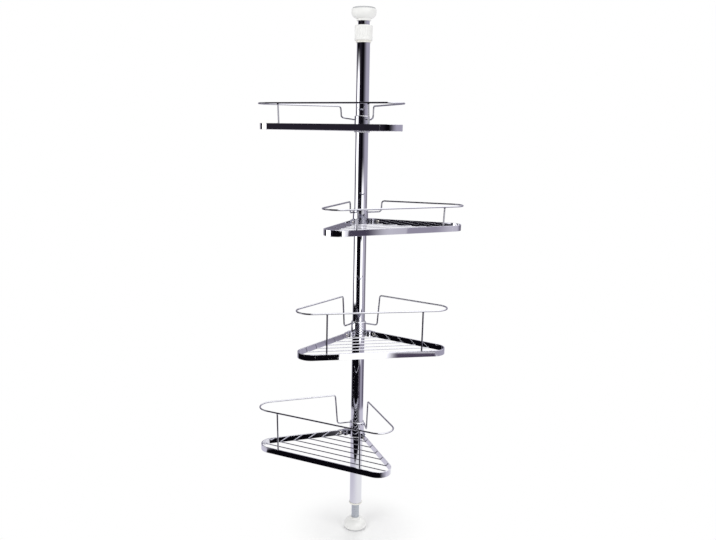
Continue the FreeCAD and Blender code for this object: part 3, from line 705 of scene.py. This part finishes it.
def strip_line(shelf):
    """The strip's middle line, from its left end round both corners to its right end."""
    sizes = shelf_sizes()
    half = sizes.strip_thickness / 2
    out = sizes.side_offset - half
    corner = front_corner(out, shelf.front - half)
    bend = sizes.corner_radius - half
    # a point just past the bend on each side of it keeps the bend's ends where they are
    past_bend = 4 * MM
    straight = bend / math.tan(SIDE_ANGLE / 2) + past_bend
    points = [
        (corner - Vector((straight, 0, 0)), 0.0, 1.0),
        (corner, bend, 1.0),
        (corner - SIDE_WAY * straight, 0.0, 1.0),
    ]
    # the end's outline is a quarter circle above and below, met evenly from the straight side to the tip
    rounding = sizes.strip_end_round
    steps = 8
    for n in range(steps + 1):
        angle = math.radians(90) * n / steps
        height = shelf.strip_height / 2 - rounding * (1 - math.cos(angle))
        reach = sizes.strip_start + rounding * (1 - math.sin(angle))
        points.append((on_side(out, reach), 0.0, height / (shelf.strip_height / 2)))
    return with_mirror(points)


def floor_lines(shelf):
    """The straight floor wires, from one side strip to the other."""
    sizes = shelf_sizes()
    last = shelf.front - sizes.strip_thickness - sizes.floor_margin - sizes.floor_wire_radius
    height = sizes.floor_wire_radius - shelf.strip_height
    lines = []
    reach = sizes.floor_first
    while reach <= last:
        right = Vector((half_width(shelf, reach), -reach, height))
        lines.append((False, welded_line(other_side(right), right)))
        reach += sizes.floor_pitch
    return lines


def rail_line(shelf):
    """The guard rail's closed line: front, corners, sides, drops beside the pole, tail behind the collar."""
    sizes = shelf_sizes()
    out = sizes.side_offset + sizes.rail_flare
    front = shelf.rail_front - sizes.wire_radius
    height = shelf.rail_top - sizes.wire_radius
    foot = on_side(out, sizes.drop_reach, sizes.drop_foot)
    lean = (height - sizes.drop_foot) * math.tan(sizes.drop_lean)
    distance = math.hypot(foot.x, foot.y)
    angle = math.atan2(foot.y, foot.x) + math.acos(sizes.tail_radius / distance)
    touch = Vector((math.cos(angle), math.sin(angle), 0)) * sizes.tail_radius
    touch.z = sizes.tail_height
    back = Vector((foot.x - touch.x, foot.y - touch.y, 0)).normalized()
    behind = Vector((0, sizes.tail_radius / math.sin(angle), sizes.tail_height))
    right = [
        (front_corner(out, front, height), sizes.corner_radius + sizes.rail_flare, 1.0),
        (on_side(out, sizes.drop_reach + lean, height), sizes.drop_top_bend, 1.0),
        (foot, sizes.drop_foot_bend, 1.0),
        (touch + back * sizes.tail_knee, sizes.tail_knee_bend, 1.0),
    ]
    return [(True, with_mirror(right) + [(behind, sizes.tail_radius, 1.0)])]


def post_lines(shelf):
    """Two posts from the strip's top edge up to the underside of the guard rail."""
    sizes = shelf_sizes()
    corner = front_corner(sizes.side_offset, shelf.front)
    across = corner.x - sizes.corner_radius / math.tan(SIDE_ANGLE / 2) - sizes.post_inset
    foot = Vector((across, sizes.strip_thickness / 2 - shelf.front, 0))
    rail = Vector((across, sizes.wire_radius - shelf.rail_front, shelf.rail_top - sizes.wire_radius))
    head = rail - (rail - foot).normalized() * sizes.wire_radius
    return [(False, welded_line(foot, head)), (False, welded_line(other_side(foot), other_side(head)))]


# ---------------------------------------------------------------- operators, one for each group of pieces
class TENSIONPOLE_OT_tubes(bpy.types.Operator):
    """The two outer tubes, the telescope's inner tube and the pin across the lower tube"""

    bl_idname = "tension_pole.tubes"
    bl_label = "Chromed tubes"

    def execute(self, context):
        sizes = pole_sizes()
        chrome = chromed_tube()
        for node, body, wall in (
            ("lower_tube", "pole", sizes.tube_wall),
            ("upper_tube", "pole", sizes.tube_wall),
            ("inner_tube", "telescope", sizes.inner_wall),
        ):
            outer = radius_of(node)
            bore = outer - wall
            low, high = heights_of(node)
            corners = [
                (bore, low, sizes.bore_edge),
                (outer, low, sizes.tube_edge),
                (outer, high, sizes.tube_edge),
                (bore, high, sizes.bore_edge),
            ]
            turned_piece("chromed_" + node, corners, body, "chrome_tube", node, chrome)
        self.pin(sizes)
        return {"FINISHED"}

    def pin(self, sizes):
        """Cross pin with domed ends that stand a little out of the tube."""
        low, high = heights_of("seat_pin")
        half = radius_of("lower_tube") + sizes.pin_proud
        dome = 0.5 * sizes.pin_radius
        corners = [
            (0, -half, 0),
            (dome, -half, 0.4 * MM),
            (sizes.pin_radius, dome - half, 0.5 * MM),
            (sizes.pin_radius, half - dome, 0.5 * MM),
            (dome, half, 0.4 * MM),
            (0, half, 0),
        ]
        obj = linked("pressed_cross_pin", turned_mesh("pressed_cross_pin", rounded(corners), around=32))
        smoothed(obj)
        across = Matrix.Translation((0, 0, (low + high) / 2)) @ Matrix.Rotation(math.radians(90), 4, "Y")
        fitted(obj, "pole", "steel_zinc", "seat_pin", material=nickel_rivet(), place=across)


class TENSIONPOLE_OT_ends(bpy.types.Operator):
    """Foot and ceiling cups and their pads, the foot's stem and the bush that guides it"""

    bl_idname = "tension_pole.ends"
    bl_label = "Cups, pads and foot"

    def execute(self, context):
        sizes = pole_sizes()
        plastic = white_abs()
        rubber = pad_rubber()
        stem = radius_of("foot_stem")
        ceiling = heights_of("ceiling_pad")[1]
        over = Matrix.Translation((0, 0, ceiling)) @ Matrix.Rotation(math.pi, 4, "X")
        for end, body, socket, place in (
            ("foot", "foot", stem, None),
            ("ceiling", "telescope", radius_of("inner_tube"), over),
        ):
            cup = linked("moulded_%s_cup" % end, turned_mesh("cup", self.cup_profile(sizes, socket)))
            smoothed(cup)
            fitted(cup, body, "abs_white", end + "_cup", material=plastic, place=place)
            pad = linked("moulded_%s_pad" % end, turned_mesh("pad", self.pad_profile(sizes)))
            smoothed(pad)
            fitted(pad, body, "rubber_grey", end + "_pad", material=rubber, place=place)
        self.stem(sizes, stem)
        self.bush(sizes, stem)
        return {"FINISHED"}

    def cup_profile(self, sizes, socket):
        """Profile of a cup, as a foot: recess for the pad, skirt, domed shoulder, neck with its socket."""
        low, top = heights_of("foot_cup")
        pad_radius = radius_of("foot_pad")
        pad_top = heights_of("foot_pad")[1]
        rim = radius_of("foot_cup")
        neck = socket + sizes.neck_wall
        shoulder = low + sizes.skirt
        socket_end = pad_top + sizes.cup_floor
        below = rounded([
            (0, pad_top, 0),
            (pad_radius, pad_top, 0.3 * MM),
            (pad_radius, low, 0),
            (rim, low, sizes.cup_edge),
            (rim, shoulder, 0),
        ])
        # the first of these corners is left to the dome, which ends there
        above = rounded([
            (neck, shoulder + sizes.dome, 0),
            (neck, top, sizes.cup_edge),
            (socket, top, 0.3 * MM),
            (socket, socket_end, 0),
            (0, socket_end, 0),
        ])[1:]
        # a quarter of an ellipse, cut short so that it meets the neck at a slant
        steps = 16
        slant = math.radians(78)
        dome = []
        for n in range(1, steps + 1):
            angle = slant * n / steps
            radius = rim - (rim - neck) * (1 - math.cos(angle)) / (1 - math.cos(slant))
            height = shoulder + sizes.dome * math.sin(angle) / math.sin(slant)
            dome.append(Vector((radius, height)))
        return below + dome + above

    def pad_profile(self, sizes):
        """Profile of a pad with ring grooves in its lower face."""
        radius = radius_of("foot_pad")
        top = heights_of("foot_pad")[1]
        corners = [(0, 0, 0)]
        reach = sizes.tread_pitch
        groove = 0.25 * sizes.tread_pitch
        soft = 0.2 * MM
        while reach < radius - sizes.pad_edge - sizes.tread_pitch / 2:
            for side, depth in ((-1, 0), (-0.5, sizes.tread_depth), (0.5, sizes.tread_depth), (1, 0)):
                corners.append((reach + side * groove, depth, soft))
            reach += sizes.tread_pitch
        corners += [(radius, 0, sizes.pad_edge), (radius, top, soft), (0, top, 0)]
        return rounded(corners, 4)

    def stem(self, sizes, radius):
        """Turned steel stem with a rounded tip that centres the spring."""
        low, high = heights_of("foot_stem")
        shoulder = heights_of("foot_retainer")[1]
        corners = [
            (0, low, 0),
            (radius, low, 0.4 * MM),
            (radius, shoulder, 0.3 * MM),
            (sizes.stem_tip, shoulder, 0),
            (sizes.stem_tip, high, 1 * MM),
            (0, high, 0),
        ]
        turned_piece("turned_foot_stem", corners, "foot", "steel_zinc", "foot_stem", zinc_plate())

    def bush(self, sizes, stem):
        """Nylon bush whose flange closes the lower tube's end."""
        low, high = heights_of("foot_bush")
        wide = radius_of("foot_bush")
        seat = low + sizes.flange_height
        bore = radius_of("lower_tube") - sizes.tube_wall
        inside = stem + sizes.running_gap
        corners = [
            (inside, low, 0.3 * MM),
            (wide, low, 0.5 * MM),
            (wide, seat, 0.4 * MM),
            (bore, seat, 0),
            (bore, high, 0.3 * MM),
            (inside, high, 0.3 * MM),
        ]
        turned_piece("moulded_foot_bush", corners, "pole", "nylon_white", "foot_bush", white_nylon())


class TENSIONPOLE_OT_lock(bpy.types.Operator):
    """The fluted nut of the twist lock at the top of the outer tubes"""

    bl_idname = "tension_pole.lock"
    bl_label = "Lock nut"

    def execute(self, context):
        sizes = pole_sizes()
        low, high = heights_of("lock_nut")
        wide = radius_of("lock_nut")
        bore = wide - sizes.nut_wall
        lip = radius_of("inner_tube") + sizes.nut_gap
        edge = sizes.nut_edge
        flute_low = low + sizes.flute_margin
        flute_high = high - sizes.flute_margin
        stations = 24
        wall = [(wide, low + edge + (high - low - 3 * edge) * n / stations, 0) for n in range(1, stations)]
        corners = [(bore, low, 0.3 * MM), (wide, low, edge)] + wall + [
            (wide, high, 2 * edge),
            (lip, high, 0.4 * MM),
            (lip, high - sizes.nut_lip, 0.2 * MM),
            (bore, high - sizes.nut_lip - (bore - lip), 0),
        ]
        faces_per_flute = 16
        runout = 1.5 * MM

        def carve(radius, height, angle):
            """Cuts round flutes into the widest part, which run out at both ends."""
            if radius < wide - 0.01 * MM:
                return radius
            end = min(height - flute_low, flute_high - height) / runout
            depth = sizes.flute_depth * math.sqrt(max(0.0, min(1.0, end)))
            wave = 0.5 + 0.5 * math.cos(sizes.flutes * angle)
            return radius - depth * wave ** 2

        turned_piece("moulded_lock_nut", corners, "twist_nut", "abs_white", "lock_nut", white_abs(),
                     faces_per_flute * sizes.flutes, carve)
        return {"FINISHED"}


class TENSIONPOLE_OT_strips(bpy.types.Operator):
    """The flat strip that is bent round each shelf"""

    bl_idname = "tension_pole.strips"
    bl_label = "Shelf strips"

    def execute(self, context):
        sizes = shelf_sizes()
        tree = strip_tree()
        chrome = chromed_strip()
        for shelf in SHELVES:
            name = shelf.name + "_bent_strip"
            values = {
                "Height": shelf.strip_height,
                "Thickness": sizes.strip_thickness,
                "Edge": sizes.strip_edge,
                "Bend Steps": 40,
                "Finish": chrome,
            }
            strip = formed(name, path_mesh(name, [(False, strip_line(shelf))]), tree, values)
            strip.data.transform(Matrix.Translation((0, 0, -shelf.strip_height / 2)))
            smoothed(strip)
            fitted(strip, shelf.name, "chrome_strip", shelf.name + "_strip", place=shelf.place)
        return {"FINISHED"}


class TENSIONPOLE_OT_wires(bpy.types.Operator):
    """Each shelf's floor wires, guard rail and the posts that carry it"""

    bl_idname = "tension_pole.wires"
    bl_label = "Shelf wires"

    def execute(self, context):
        tree = wire_tree()
        finish = chromed_wire()
        sizes = shelf_sizes()
        for shelf in SHELVES:
            pieces = {
                "floor_wires": (floor_lines(shelf), sizes.floor_wire_radius),
                "guard_rail": (rail_line(shelf), sizes.wire_radius),
                "rail_posts": (post_lines(shelf), sizes.wire_radius),
            }
            for node, (lines, radius) in pieces.items():
                name = "%s_chromed_%s" % (shelf.name, node)
                values = {"Wire Radius": radius, "Sides": 20, "Bend Steps": 24, "Finish": finish}
                wires = formed(name, path_mesh(name, lines), tree, values)
                smoothed(wires)
                fitted(wires, shelf.name, "chrome_wire", "%s_%s" % (shelf.name, node), place=shelf.place)
        return {"FINISHED"}


class TENSIONPOLE_OT_collars(bpy.types.Operator):
    """Each shelf's cast collar with its two ears, smoothed from the CAD shape"""

    bl_idname = "tension_pole.collars"
    bl_label = "Cast collars"

    def execute(self, context):
        chrome = chromed_casting()
        for shelf in SHELVES:
            node = shelf.name + "_collar"
            collar = linked(shelf.name + "_cast_collar", merged_copy(node))
            smoothed(collar)
            self.true_round(collar.data)
            fitted(collar, shelf.name, "chrome_casting", node, material=chrome)
        return {"FINISHED"}

    def true_round(self, mesh):
        """Gives faces that are round about the pole's axis their exact corner normals."""
        normals = [corner.vector.copy() for corner in mesh.corner_normals]
        # such a face lies near the pole, is fairly upright, and looks straight away from the axis or to it
        furthest = radius_of("lower_tube") + 4 * MM
        upright = 0.3
        straight = 0.97
        for face in mesh.polygons:
            flat = Vector((face.normal.x, face.normal.y))
            spots = [mesh.vertices[v].co for v in face.vertices]
            if flat.length < upright or max(math.hypot(p.x, p.y) for p in spots) > furthest:
                continue
            centre = Vector((face.center.x, face.center.y))
            if abs(flat.normalized().dot(centre.normalized())) < straight:
                continue
            sign = math.copysign(1.0, flat.dot(centre))
            for corner, spot in zip(face.loop_indices, spots):
                way = Vector((spot.x, spot.y)).normalized() * flat.length * sign
                normals[corner] = Vector((way.x, way.y, face.normal.z)).normalized()
        mesh.normals_split_custom_set(normals)


class TENSIONPOLE_OT_rivets(bpy.types.Operator):
    """The rivets that hold each strip to its collar's ears"""

    bl_idname = "tension_pole.rivets"
    bl_label = "Rivets"

    def execute(self, context):
        sizes = shelf_sizes()
        pattern = linked("rivet_pattern", turned_mesh("rivet_pattern", self.profile(sizes), around=32))
        smoothed(pattern)
        tree = rivet_tree()
        finish = nickel_rivet()
        for shelf in SHELVES:
            name = shelf.name + "_set_rivets"
            seat = on_side(sizes.side_offset, sizes.rivet_reach, -shelf.strip_height / 2)
            path = bpy.data.meshes.new(name)
            path.from_pydata([seat, other_side(seat)], [], [])
            facing = [*SIDE_OUT, *other_side(SIDE_OUT)]
            path.attributes.new("facing", "FLOAT_VECTOR", "POINT").data.foreach_set("vector", facing)
            rivets = formed(name, path, tree, {"Rivet": pattern, "Finish": finish})
            smoothed(rivets)
            fitted(rivets, shelf.name, "rivet_steel", shelf.name + "_rivets", place=shelf.place)
        bpy.data.objects.remove(pattern)
        return {"FINISHED"}

    def profile(self, sizes):
        """A rivet along Z, its seat between strip and ear at height 0, its inner head dimpled by the die."""
        head = sizes.rivet_head
        dome = sizes.rivet_dome
        inside = -sizes.strip_thickness
        outside = sizes.ear_thickness
        shank = sizes.rivet_shank
        dimple = sizes.rivet_dimple
        steps = 8
        ball = (head ** 2 + dome ** 2) / (2 * dome)
        outer = []
        inner = []
        for n in range(steps + 1):
            reach = head * n / steps
            rise = math.sqrt(ball ** 2 - reach ** 2) - (ball - dome)
            outer.append(Vector((reach, outside + rise)))
            if reach > dimple:
                inner.append(Vector((reach, inside - rise)))
        rim = inner[0].y
        # the dimple's floor: how far out, as a share of its radius, and how far below its rim in millimetres
        floor = ((0.0, 0.7), (0.7, 0.6), (1.0, 0.05))
        hollow = [Vector((share * dimple, rim + depth * MM)) for share, depth in floor]
        waist = [Vector((shank, inside)), Vector((shank, outside))]
        return hollow + inner + waist + outer[::-1]


class TENSIONPOLE_OT_wedges(bpy.types.Operator):
    """The two halves of each split wedge that grips the pole inside a collar"""

    bl_idname = "tension_pole.wedges"
    bl_label = "Split wedges"

    def execute(self, context):
        sizes = shelf_sizes()
        nylon = grey_nylon()
        tube = radius_of("lower_tube")
        bore = tube + pole_sizes().running_gap
        flange = tube + sizes.wedge_reach
        for shelf in SHELVES:
            low = shelf.wedge_low
            seat = low + sizes.wedge_flange
            high = shelf.wedge_high
            profile = rounded([
                (bore, low, 0.2 * MM),
                (flange, low, 0.4 * MM),
                (flange, seat, 0.3 * MM),
                (bore + sizes.wedge_bottom_wall, seat, 0),
                (bore + sizes.wedge_top_wall, high, 0.3 * MM),
                (bore, high, 0.2 * MM),
            ], 4)
            for side, half_turn in (("right", 0.0), ("left", math.pi)):
                name = "%s_moulded_wedge_%s" % (shelf.name, side)
                wedge = linked(name, turned_mesh(name, profile, split=sizes.wedge_split))
                smoothed(wedge)
                place = shelf.place @ Matrix.Rotation(half_turn, 4, "Z")
                node = "%s_wedge_%s" % (shelf.name, side)
                fitted(wedge, shelf.wedge, "nylon_wedge", node, material=nylon, place=place)
        return {"FINISHED"}


class TENSIONPOLE_OT_spring(bpy.types.Operator):
    """The foot's compression spring, smoothed from the CAD shape"""

    bl_idname = "tension_pole.spring"
    bl_label = "Foot spring"

    def execute(self, context):
        spring = linked("coiled_tension_spring", merged_copy("tension_spring"))
        smoothed(spring)
        fitted(spring, "pole", "spring_steel", "tension_spring", material=oiled_spring_wire())
        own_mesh(spring)
        return {"FINISHED"}


class TENSIONPOLE_OT_inside(bpy.types.Operator):
    """Finishes of the pieces inside the pole that keep their CAD shapes"""

    bl_idname = "tension_pole.inside"
    bl_label = "Inner pieces"

    def execute(self, context):
        zinc = zinc_plate()
        nylon = white_nylon()
        inner = {
            "tube_joiner": zinc,
            "foot_retainer": zinc,
            "spring_seat": nylon,
            "inner_guide_ring": nylon,
            "lock_ferrule": nylon,
        }
        for node, material in inner.items():
            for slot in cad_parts[node].material_slots:
                slot.material = material
        return {"FINISHED"}


# ---------------------------------------------------------------- studio
# what chrome sees of the studio: soft-edged areas of sky, later ones over earlier ones.  Each has a name;
# its left and right bearing and the softness of those two sides; its lowest and highest elevation and their
# softness; its colour; and its level.  A bearing is 0 towards the camera and runs from -180 degrees on the
# left to 180 on the right
BLACK = "#0C0A10"
WHITE = "#FFFFFF"
AREAS = (
    ("left side and back", (-230, -130), (1, 20), (-90, 60), (1, 30), "#C9C5D6", 0.7),
    ("right side and back", (42, 230), (72, 1), (-90, 110), (1, 30), "#C9C5D6", 0.9),
    ("overhead softbox", (-5, 105), (16, 20), (26, 110), (16, 16), WHITE, 2.8),
    ("right rear of the overhead softbox", (110, 250), (20, 20), (28, 110), (16, 16), WHITE, 2.4),
    ("lower edge of the overhead softbox", (12, 48), (8, 10), (10, 40), (6, 8), WHITE, 2.6),
    ("right window", (15, 52), (10, 14), (-17.6, -3.6), (0.5, 4), WHITE, 2.2),
    ("right window's glow", (54, 92), (14, 30), (-14, -4), (4, 4), "#E4E0EC", 0.95),
    ("seam in the window's glow", (56.05, 58.8), (0.15, 1.4), (-8.6, -6.0), (0.4, 0.4), "#AFA9BA", 1.0),
    ("spill of the left softbox", (-70, -30), (5, 50), (-8, 12), (4, 6), "#2E2A34", 1.0),
    ("left softbox", (-104, -59), (5, 2), (-12.9, 5), (0.5, 3), WHITE, 2.4),
    ("flag below the right window", (-40, 34), (1, 4), (-8.1, -7.1), (0.4, 0.4), BLACK, 1.0),
    ("edge of the right window", (51.45, 53.8), (0.1, 2.0), (-8.4, -6.6), (0.4, 0.4), "#544E60", 1.0),
    ("foot of the right window", (23.5, 45), (1.5, 24), (-26, -16.33), (4, 0.75), "#5A5064", 1.0),
    ("sill of the right window", (8, 60), (6, 16), (-16.32, -15.95), (0.15, 0.3), "#6A6474", 1.0),
    ("light on the sill", (31, 75), (7, 20), (-16.9, -15.95), (0.4, 0.3), "#BAB6C4", 1.0),
    ("dark foot of the right wall", (90, 150), (40, 16), (-21, -17.1), (2, 0.6), "#6B6577", 1.0),
    ("dark upright on the right wall", (106, 160), (20, 8), (-16, -4), (1, 2), "#8C8794", 1.0),
    ("black foot of the left wall", (-60, 19.5), (1, 0.05), (-18.5, -15.0), (0.4, 0.6), BLACK, 1.0),
)


def ramp(tree, source, start, end):
    """Rises smoothly from 0 at the start to 1 at the end, which may be the smaller of the two."""
    limits = {"interpolation_type": "SMOOTHSTEP", "From Min": start, "From Max": end}
    return add(tree, "ShaderNodeMapRange", limits, {"Value": source}).outputs["Result"]


def band(tree, source, limits, soft):
    """1 between two limits of the source, falling to 0 across a softness at each."""
    low, high = limits
    rise = ramp(tree, source, low - soft[0] / 2, low + soft[0] / 2)
    fall = ramp(tree, source, high + soft[1] / 2, high - soft[1] / 2)
    return add(tree, "ShaderNodeMath", {"operation": "MULTIPLY"}, {0: rise, 1: fall}).outputs[0]


class TENSIONPOLE_OT_studio(bpy.types.Operator):
    """White studio: camera, pale floor, soft lamps, and the dark and bright areas that chrome mirrors"""

    bl_idname = "tension_pole.studio"
    bl_label = "Studio"

    def execute(self, context):
        studio = context.scene.tension_pole_studio
        self.camera(context, studio)
        self.sky(context, studio)
        self.floor()
        self.lamps(studio)
        context.scene.view_settings.view_transform = "Standard"
        return {"FINISHED"}

    def camera(self, context, studio):
        """The camera straight in front of the pole, aimed by its angles down, to the left and of roll."""
        data = bpy.data.cameras.new("camera")
        data.lens = studio.lens
        data.sensor_width = 36
        data.clip_start = 0.01
        camera = linked("camera", data)
        down = studio.camera_down
        left = studio.camera_left
        ahead = Vector((-math.sin(left), math.cos(left), 0))
        forward = ahead * math.cos(down) - Vector((0, 0, math.sin(down)))
        level = Vector((math.cos(left), math.sin(left), 0))
        upward = level.cross(forward)
        roll = studio.camera_roll
        right = level * math.cos(roll) + upward * math.sin(roll)
        up = upward * math.cos(roll) - level * math.sin(roll)
        turn = Matrix((right, up, -forward)).transposed().to_4x4()
        camera.matrix_world = Matrix.Translation((0, -studio.camera_distance, studio.camera_height)) @ turn
        context.scene.camera = camera

    def sky(self, context, studio):
        """White behind everything, an even light on matt surfaces, and the studio's areas for chrome."""
        world = bpy.data.worlds.new("studio")
        context.scene.world = world
        world.use_nodes = True
        tree = world.node_tree
        tree.nodes.clear()
        way = add(tree, "ShaderNodeTexCoord").outputs["Generated"]
        parts = add(tree, "ShaderNodeSeparateXYZ", links={0: way}).outputs
        front = add(tree, "ShaderNodeMath", {"operation": "MULTIPLY", 1: -1.0}, {0: parts["Y"]}).outputs[0]
        turn = add(tree, "ShaderNodeMath", {"operation": "ARCTAN2"}, {0: parts["X"], 1: front}).outputs[0]
        rise = add(tree, "ShaderNodeMath", {"operation": "ARCSINE"}, {0: parts["Z"]}).outputs[0]
        bearing = add(tree, "ShaderNodeMath", {"operation": "DEGREES"}, {0: turn}).outputs[0]
        elevation = add(tree, "ShaderNodeMath", {"operation": "DEGREES"}, {0: rise}).outputs[0]
        mirrored = add(tree, "ShaderNodeRGB").outputs[0]
        mirrored.default_value = (*linear(BLACK), 1.0)
        for label, sides, side_softness, heights, height_softness, tint, level in AREAS:
            across = band(tree, bearing, sides, side_softness)
            upright = band(tree, elevation, heights, height_softness)
            mask = add(tree, "ShaderNodeMath", {"operation": "MULTIPLY"}, {0: across, 1: upright}).outputs[0]
            glow = [channel * level for channel in linear(tint)]
            mirrored = add(tree, "ShaderNodeMix", {"label": label, "data_type": "RGBA", 7: (*glow, 1.0)},
                           {0: mask, 6: mirrored}).outputs[2]
        ray = add(tree, "ShaderNodeLightPath").outputs
        ambient = (studio.ambient, studio.ambient, studio.ambient, 1.0)
        even = add(tree, "ShaderNodeMix", {"data_type": "RGBA", 6: ambient, 7: (1, 1, 1, 1)},
                   {0: ray["Is Camera Ray"]}).outputs[2]
        seen = add(tree, "ShaderNodeMix", {"data_type": "RGBA"},
                   {0: ray["Is Glossy Ray"], 6: even, 7: mirrored})
        light = add(tree, "ShaderNodeBackground", {"Strength": 1.0}, {"Color": seen.outputs[2]})
        add(tree, "ShaderNodeOutputWorld", links={"Surface": light.outputs[0]})

    def floor(self):
        """A wide floor: white paper for the camera and for light, and for chrome a pale sheet with painted
        light.
        """
        half = 4.0
        corners = [(-half, -half, 0), (half, -half, 0), (half, half, 0), (-half, half, 0)]
        mesh = bpy.data.meshes.new("studio_floor")
        mesh.from_pydata(corners, [], [(0, 1, 2, 3)])
        floor = linked("studio_floor", mesh)
        material = bpy.data.materials.new("matt_white_paper")
        material.use_nodes = True
        tree = material.node_tree
        tree.nodes.clear()
        place = add(tree, "ShaderNodeTexCoord").outputs["Object"]
        reach = add(tree, "ShaderNodeVectorMath", {"operation": "LENGTH"}, {0: place}).outputs["Value"]
        glossy = add(tree, "ShaderNodeLightPath").outputs["Is Glossy Ray"]
        looks = {0: glossy, 1: self.paper(tree, reach), 2: self.sheet(tree, place, reach)}
        both = add(tree, "ShaderNodeMixShader", links=looks).outputs[0]
        add(tree, "ShaderNodeOutputMaterial", links={"Surface": both})
        mesh.materials.append(material)

    def paper(self, tree, reach):
        """Paper that takes the foot's shadow, and fades to pure white away from it."""
        fade = (0.04, 0.16)
        paper = add(tree, "ShaderNodeBsdfDiffuse", {"Color": (*linear("#FAFAFA"), 1.0)}).outputs[0]
        white = add(tree, "ShaderNodeEmission", {"Color": (1, 1, 1, 1)}).outputs[0]
        away = ramp(tree, reach, *fade)
        return add(tree, "ShaderNodeMixShader", links={0: away, 1: paper, 2: white}).outputs[0]

    def sheet(self, tree, place, reach):
        """The sheet that chrome mirrors, which glows by its own emission: pale, with painted light brighter
        than white on the right near the pole, black past its front edge, and cut off in a circle.  Each pair
        is where a change starts and where it ends."""
        # the front edge is bent: each half is square to its own bearing, in degrees
        front_edges = ((-20, 0.31, 0.36), (6, 0.34, 0.40))
        dark_left = (-0.62, -0.58)
        dark_right = (0.62, 0.18)
        # painted light: on the right near the pole the sheet glows brighter than white, a pool of light
        # painted on the floor
        painted_light_right = (-0.3, 0.2)
        painted_light_near = (0.6, 0.3)
        rim = (0.68, 0.73)
        pale = (*linear("#E8E5F2"), 1.0)
        bright = (1.15, 1.15, 1.15, 1.0)

        across = add(tree, "ShaderNodeSeparateXYZ", links={0: place}).outputs["X"]
        halves = []
        for side, start, end in front_edges:
            way = Vector((math.sin(math.radians(side)), -math.cos(math.radians(side)), 0))
            ahead = add(tree, "ShaderNodeVectorMath", {"operation": "DOT_PRODUCT", 1: way}, {0: place})
            halves.append(ramp(tree, ahead.outputs["Value"], start, end))
        dark = add(tree, "ShaderNodeMath", {"operation": "MAXIMUM"}, dict(enumerate(halves))).outputs[0]
        for limits in (dark_left, dark_right):
            share = ramp(tree, across, *limits)
            dark = add(tree, "ShaderNodeMath", {"operation": "MULTIPLY"}, {0: dark, 1: share}).outputs[0]
        shares = {0: ramp(tree, across, *painted_light_right), 1: ramp(tree, reach, *painted_light_near)}
        near = add(tree, "ShaderNodeMath", {"operation": "MULTIPLY"}, shares).outputs[0]
        lit = add(tree, "ShaderNodeMix", {"data_type": "RGBA", 6: pale, 7: bright}, {0: near}).outputs[2]
        tint = add(tree, "ShaderNodeMix", {"data_type": "RGBA", 7: (*linear(BLACK), 1.0)},
                   {0: dark, 6: lit}).outputs[2]
        sheet = add(tree, "ShaderNodeEmission", links={"Color": tint}).outputs[0]
        clear = add(tree, "ShaderNodeBsdfTransparent").outputs[0]
        gone = ramp(tree, reach, *rim)
        return add(tree, "ShaderNodeMixShader", links={0: gone, 1: sheet, 2: clear}).outputs[0]

    def lamps(self, studio):
        """Three large soft lamps, which chrome doesn't mirror because the studio's areas stand for them."""
        target = Vector((0, 0, 0.5))
        for name, place, watts, width in (
            ("key lamp", (-1.6, -1.8, 2.2), 26, 1.4),
            ("fill lamp", (1.9, -1.4, 1.4), 14, 1.6),
            ("back lamp", (0.4, 2.0, 2.0), 14, 1.6),
        ):
            data = bpy.data.lights.new(name, "AREA")
            data.energy = watts * studio.lamps
            data.size = width
            lamp = linked(name, data)
            lamp.visible_glossy = False
            turn = (target - Vector(place)).to_track_quat("-Z", "Y").to_matrix().to_4x4()
            lamp.matrix_world = Matrix.Translation(place) @ turn


# ---------------------------------------------------------------- panel and registration
STEPS = (
    TENSIONPOLE_OT_tubes,
    TENSIONPOLE_OT_ends,
    TENSIONPOLE_OT_lock,
    TENSIONPOLE_OT_strips,
    TENSIONPOLE_OT_wires,
    TENSIONPOLE_OT_collars,
    TENSIONPOLE_OT_rivets,
    TENSIONPOLE_OT_wedges,
    TENSIONPOLE_OT_spring,
    TENSIONPOLE_OT_inside,
    TENSIONPOLE_OT_studio,
)


class TENSIONPOLE_PT_panel(bpy.types.Panel):
    """Sidebar panel with the steps and the sizes"""

    bl_idname = "TENSIONPOLE_PT_panel"
    bl_label = "Tension Pole"
    bl_space_type = "VIEW_3D"
    bl_region_type = "UI"
    bl_category = "Tension Pole"

    def draw(self, context):
        for step in STEPS:
            self.layout.operator(step.bl_idname)
        for place, group in GROUPS.items():
            box = self.layout.box()
            for name in group.__annotations__:
                box.prop(getattr(context.scene, place), name)


GROUPS = {
    "tension_pole_sizes": PoleSizes,
    "tension_shelf_sizes": ShelfSizes,
    "tension_pole_finishes": Finishes,
    "tension_pole_studio": Studio,
}
CLASSES = (*GROUPS.values(), *STEPS, TENSIONPOLE_PT_panel)


def register():
    for cls in CLASSES:
        bpy.utils.register_class(cls)
    for name, group in GROUPS.items():
        setattr(bpy.types.Scene, name, PointerProperty(type=group))


def unregister():
    for name in GROUPS:
        delattr(bpy.types.Scene, name)
    for cls in reversed(CLASSES):
        bpy.utils.unregister_class(cls)


def main():
    """Registers the add-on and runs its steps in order."""
    register()
    for step in STEPS:
        group, name = step.bl_idname.split(".")
        getattr(getattr(bpy.ops, group), name)()


if __name__ == "__main__":
    main()
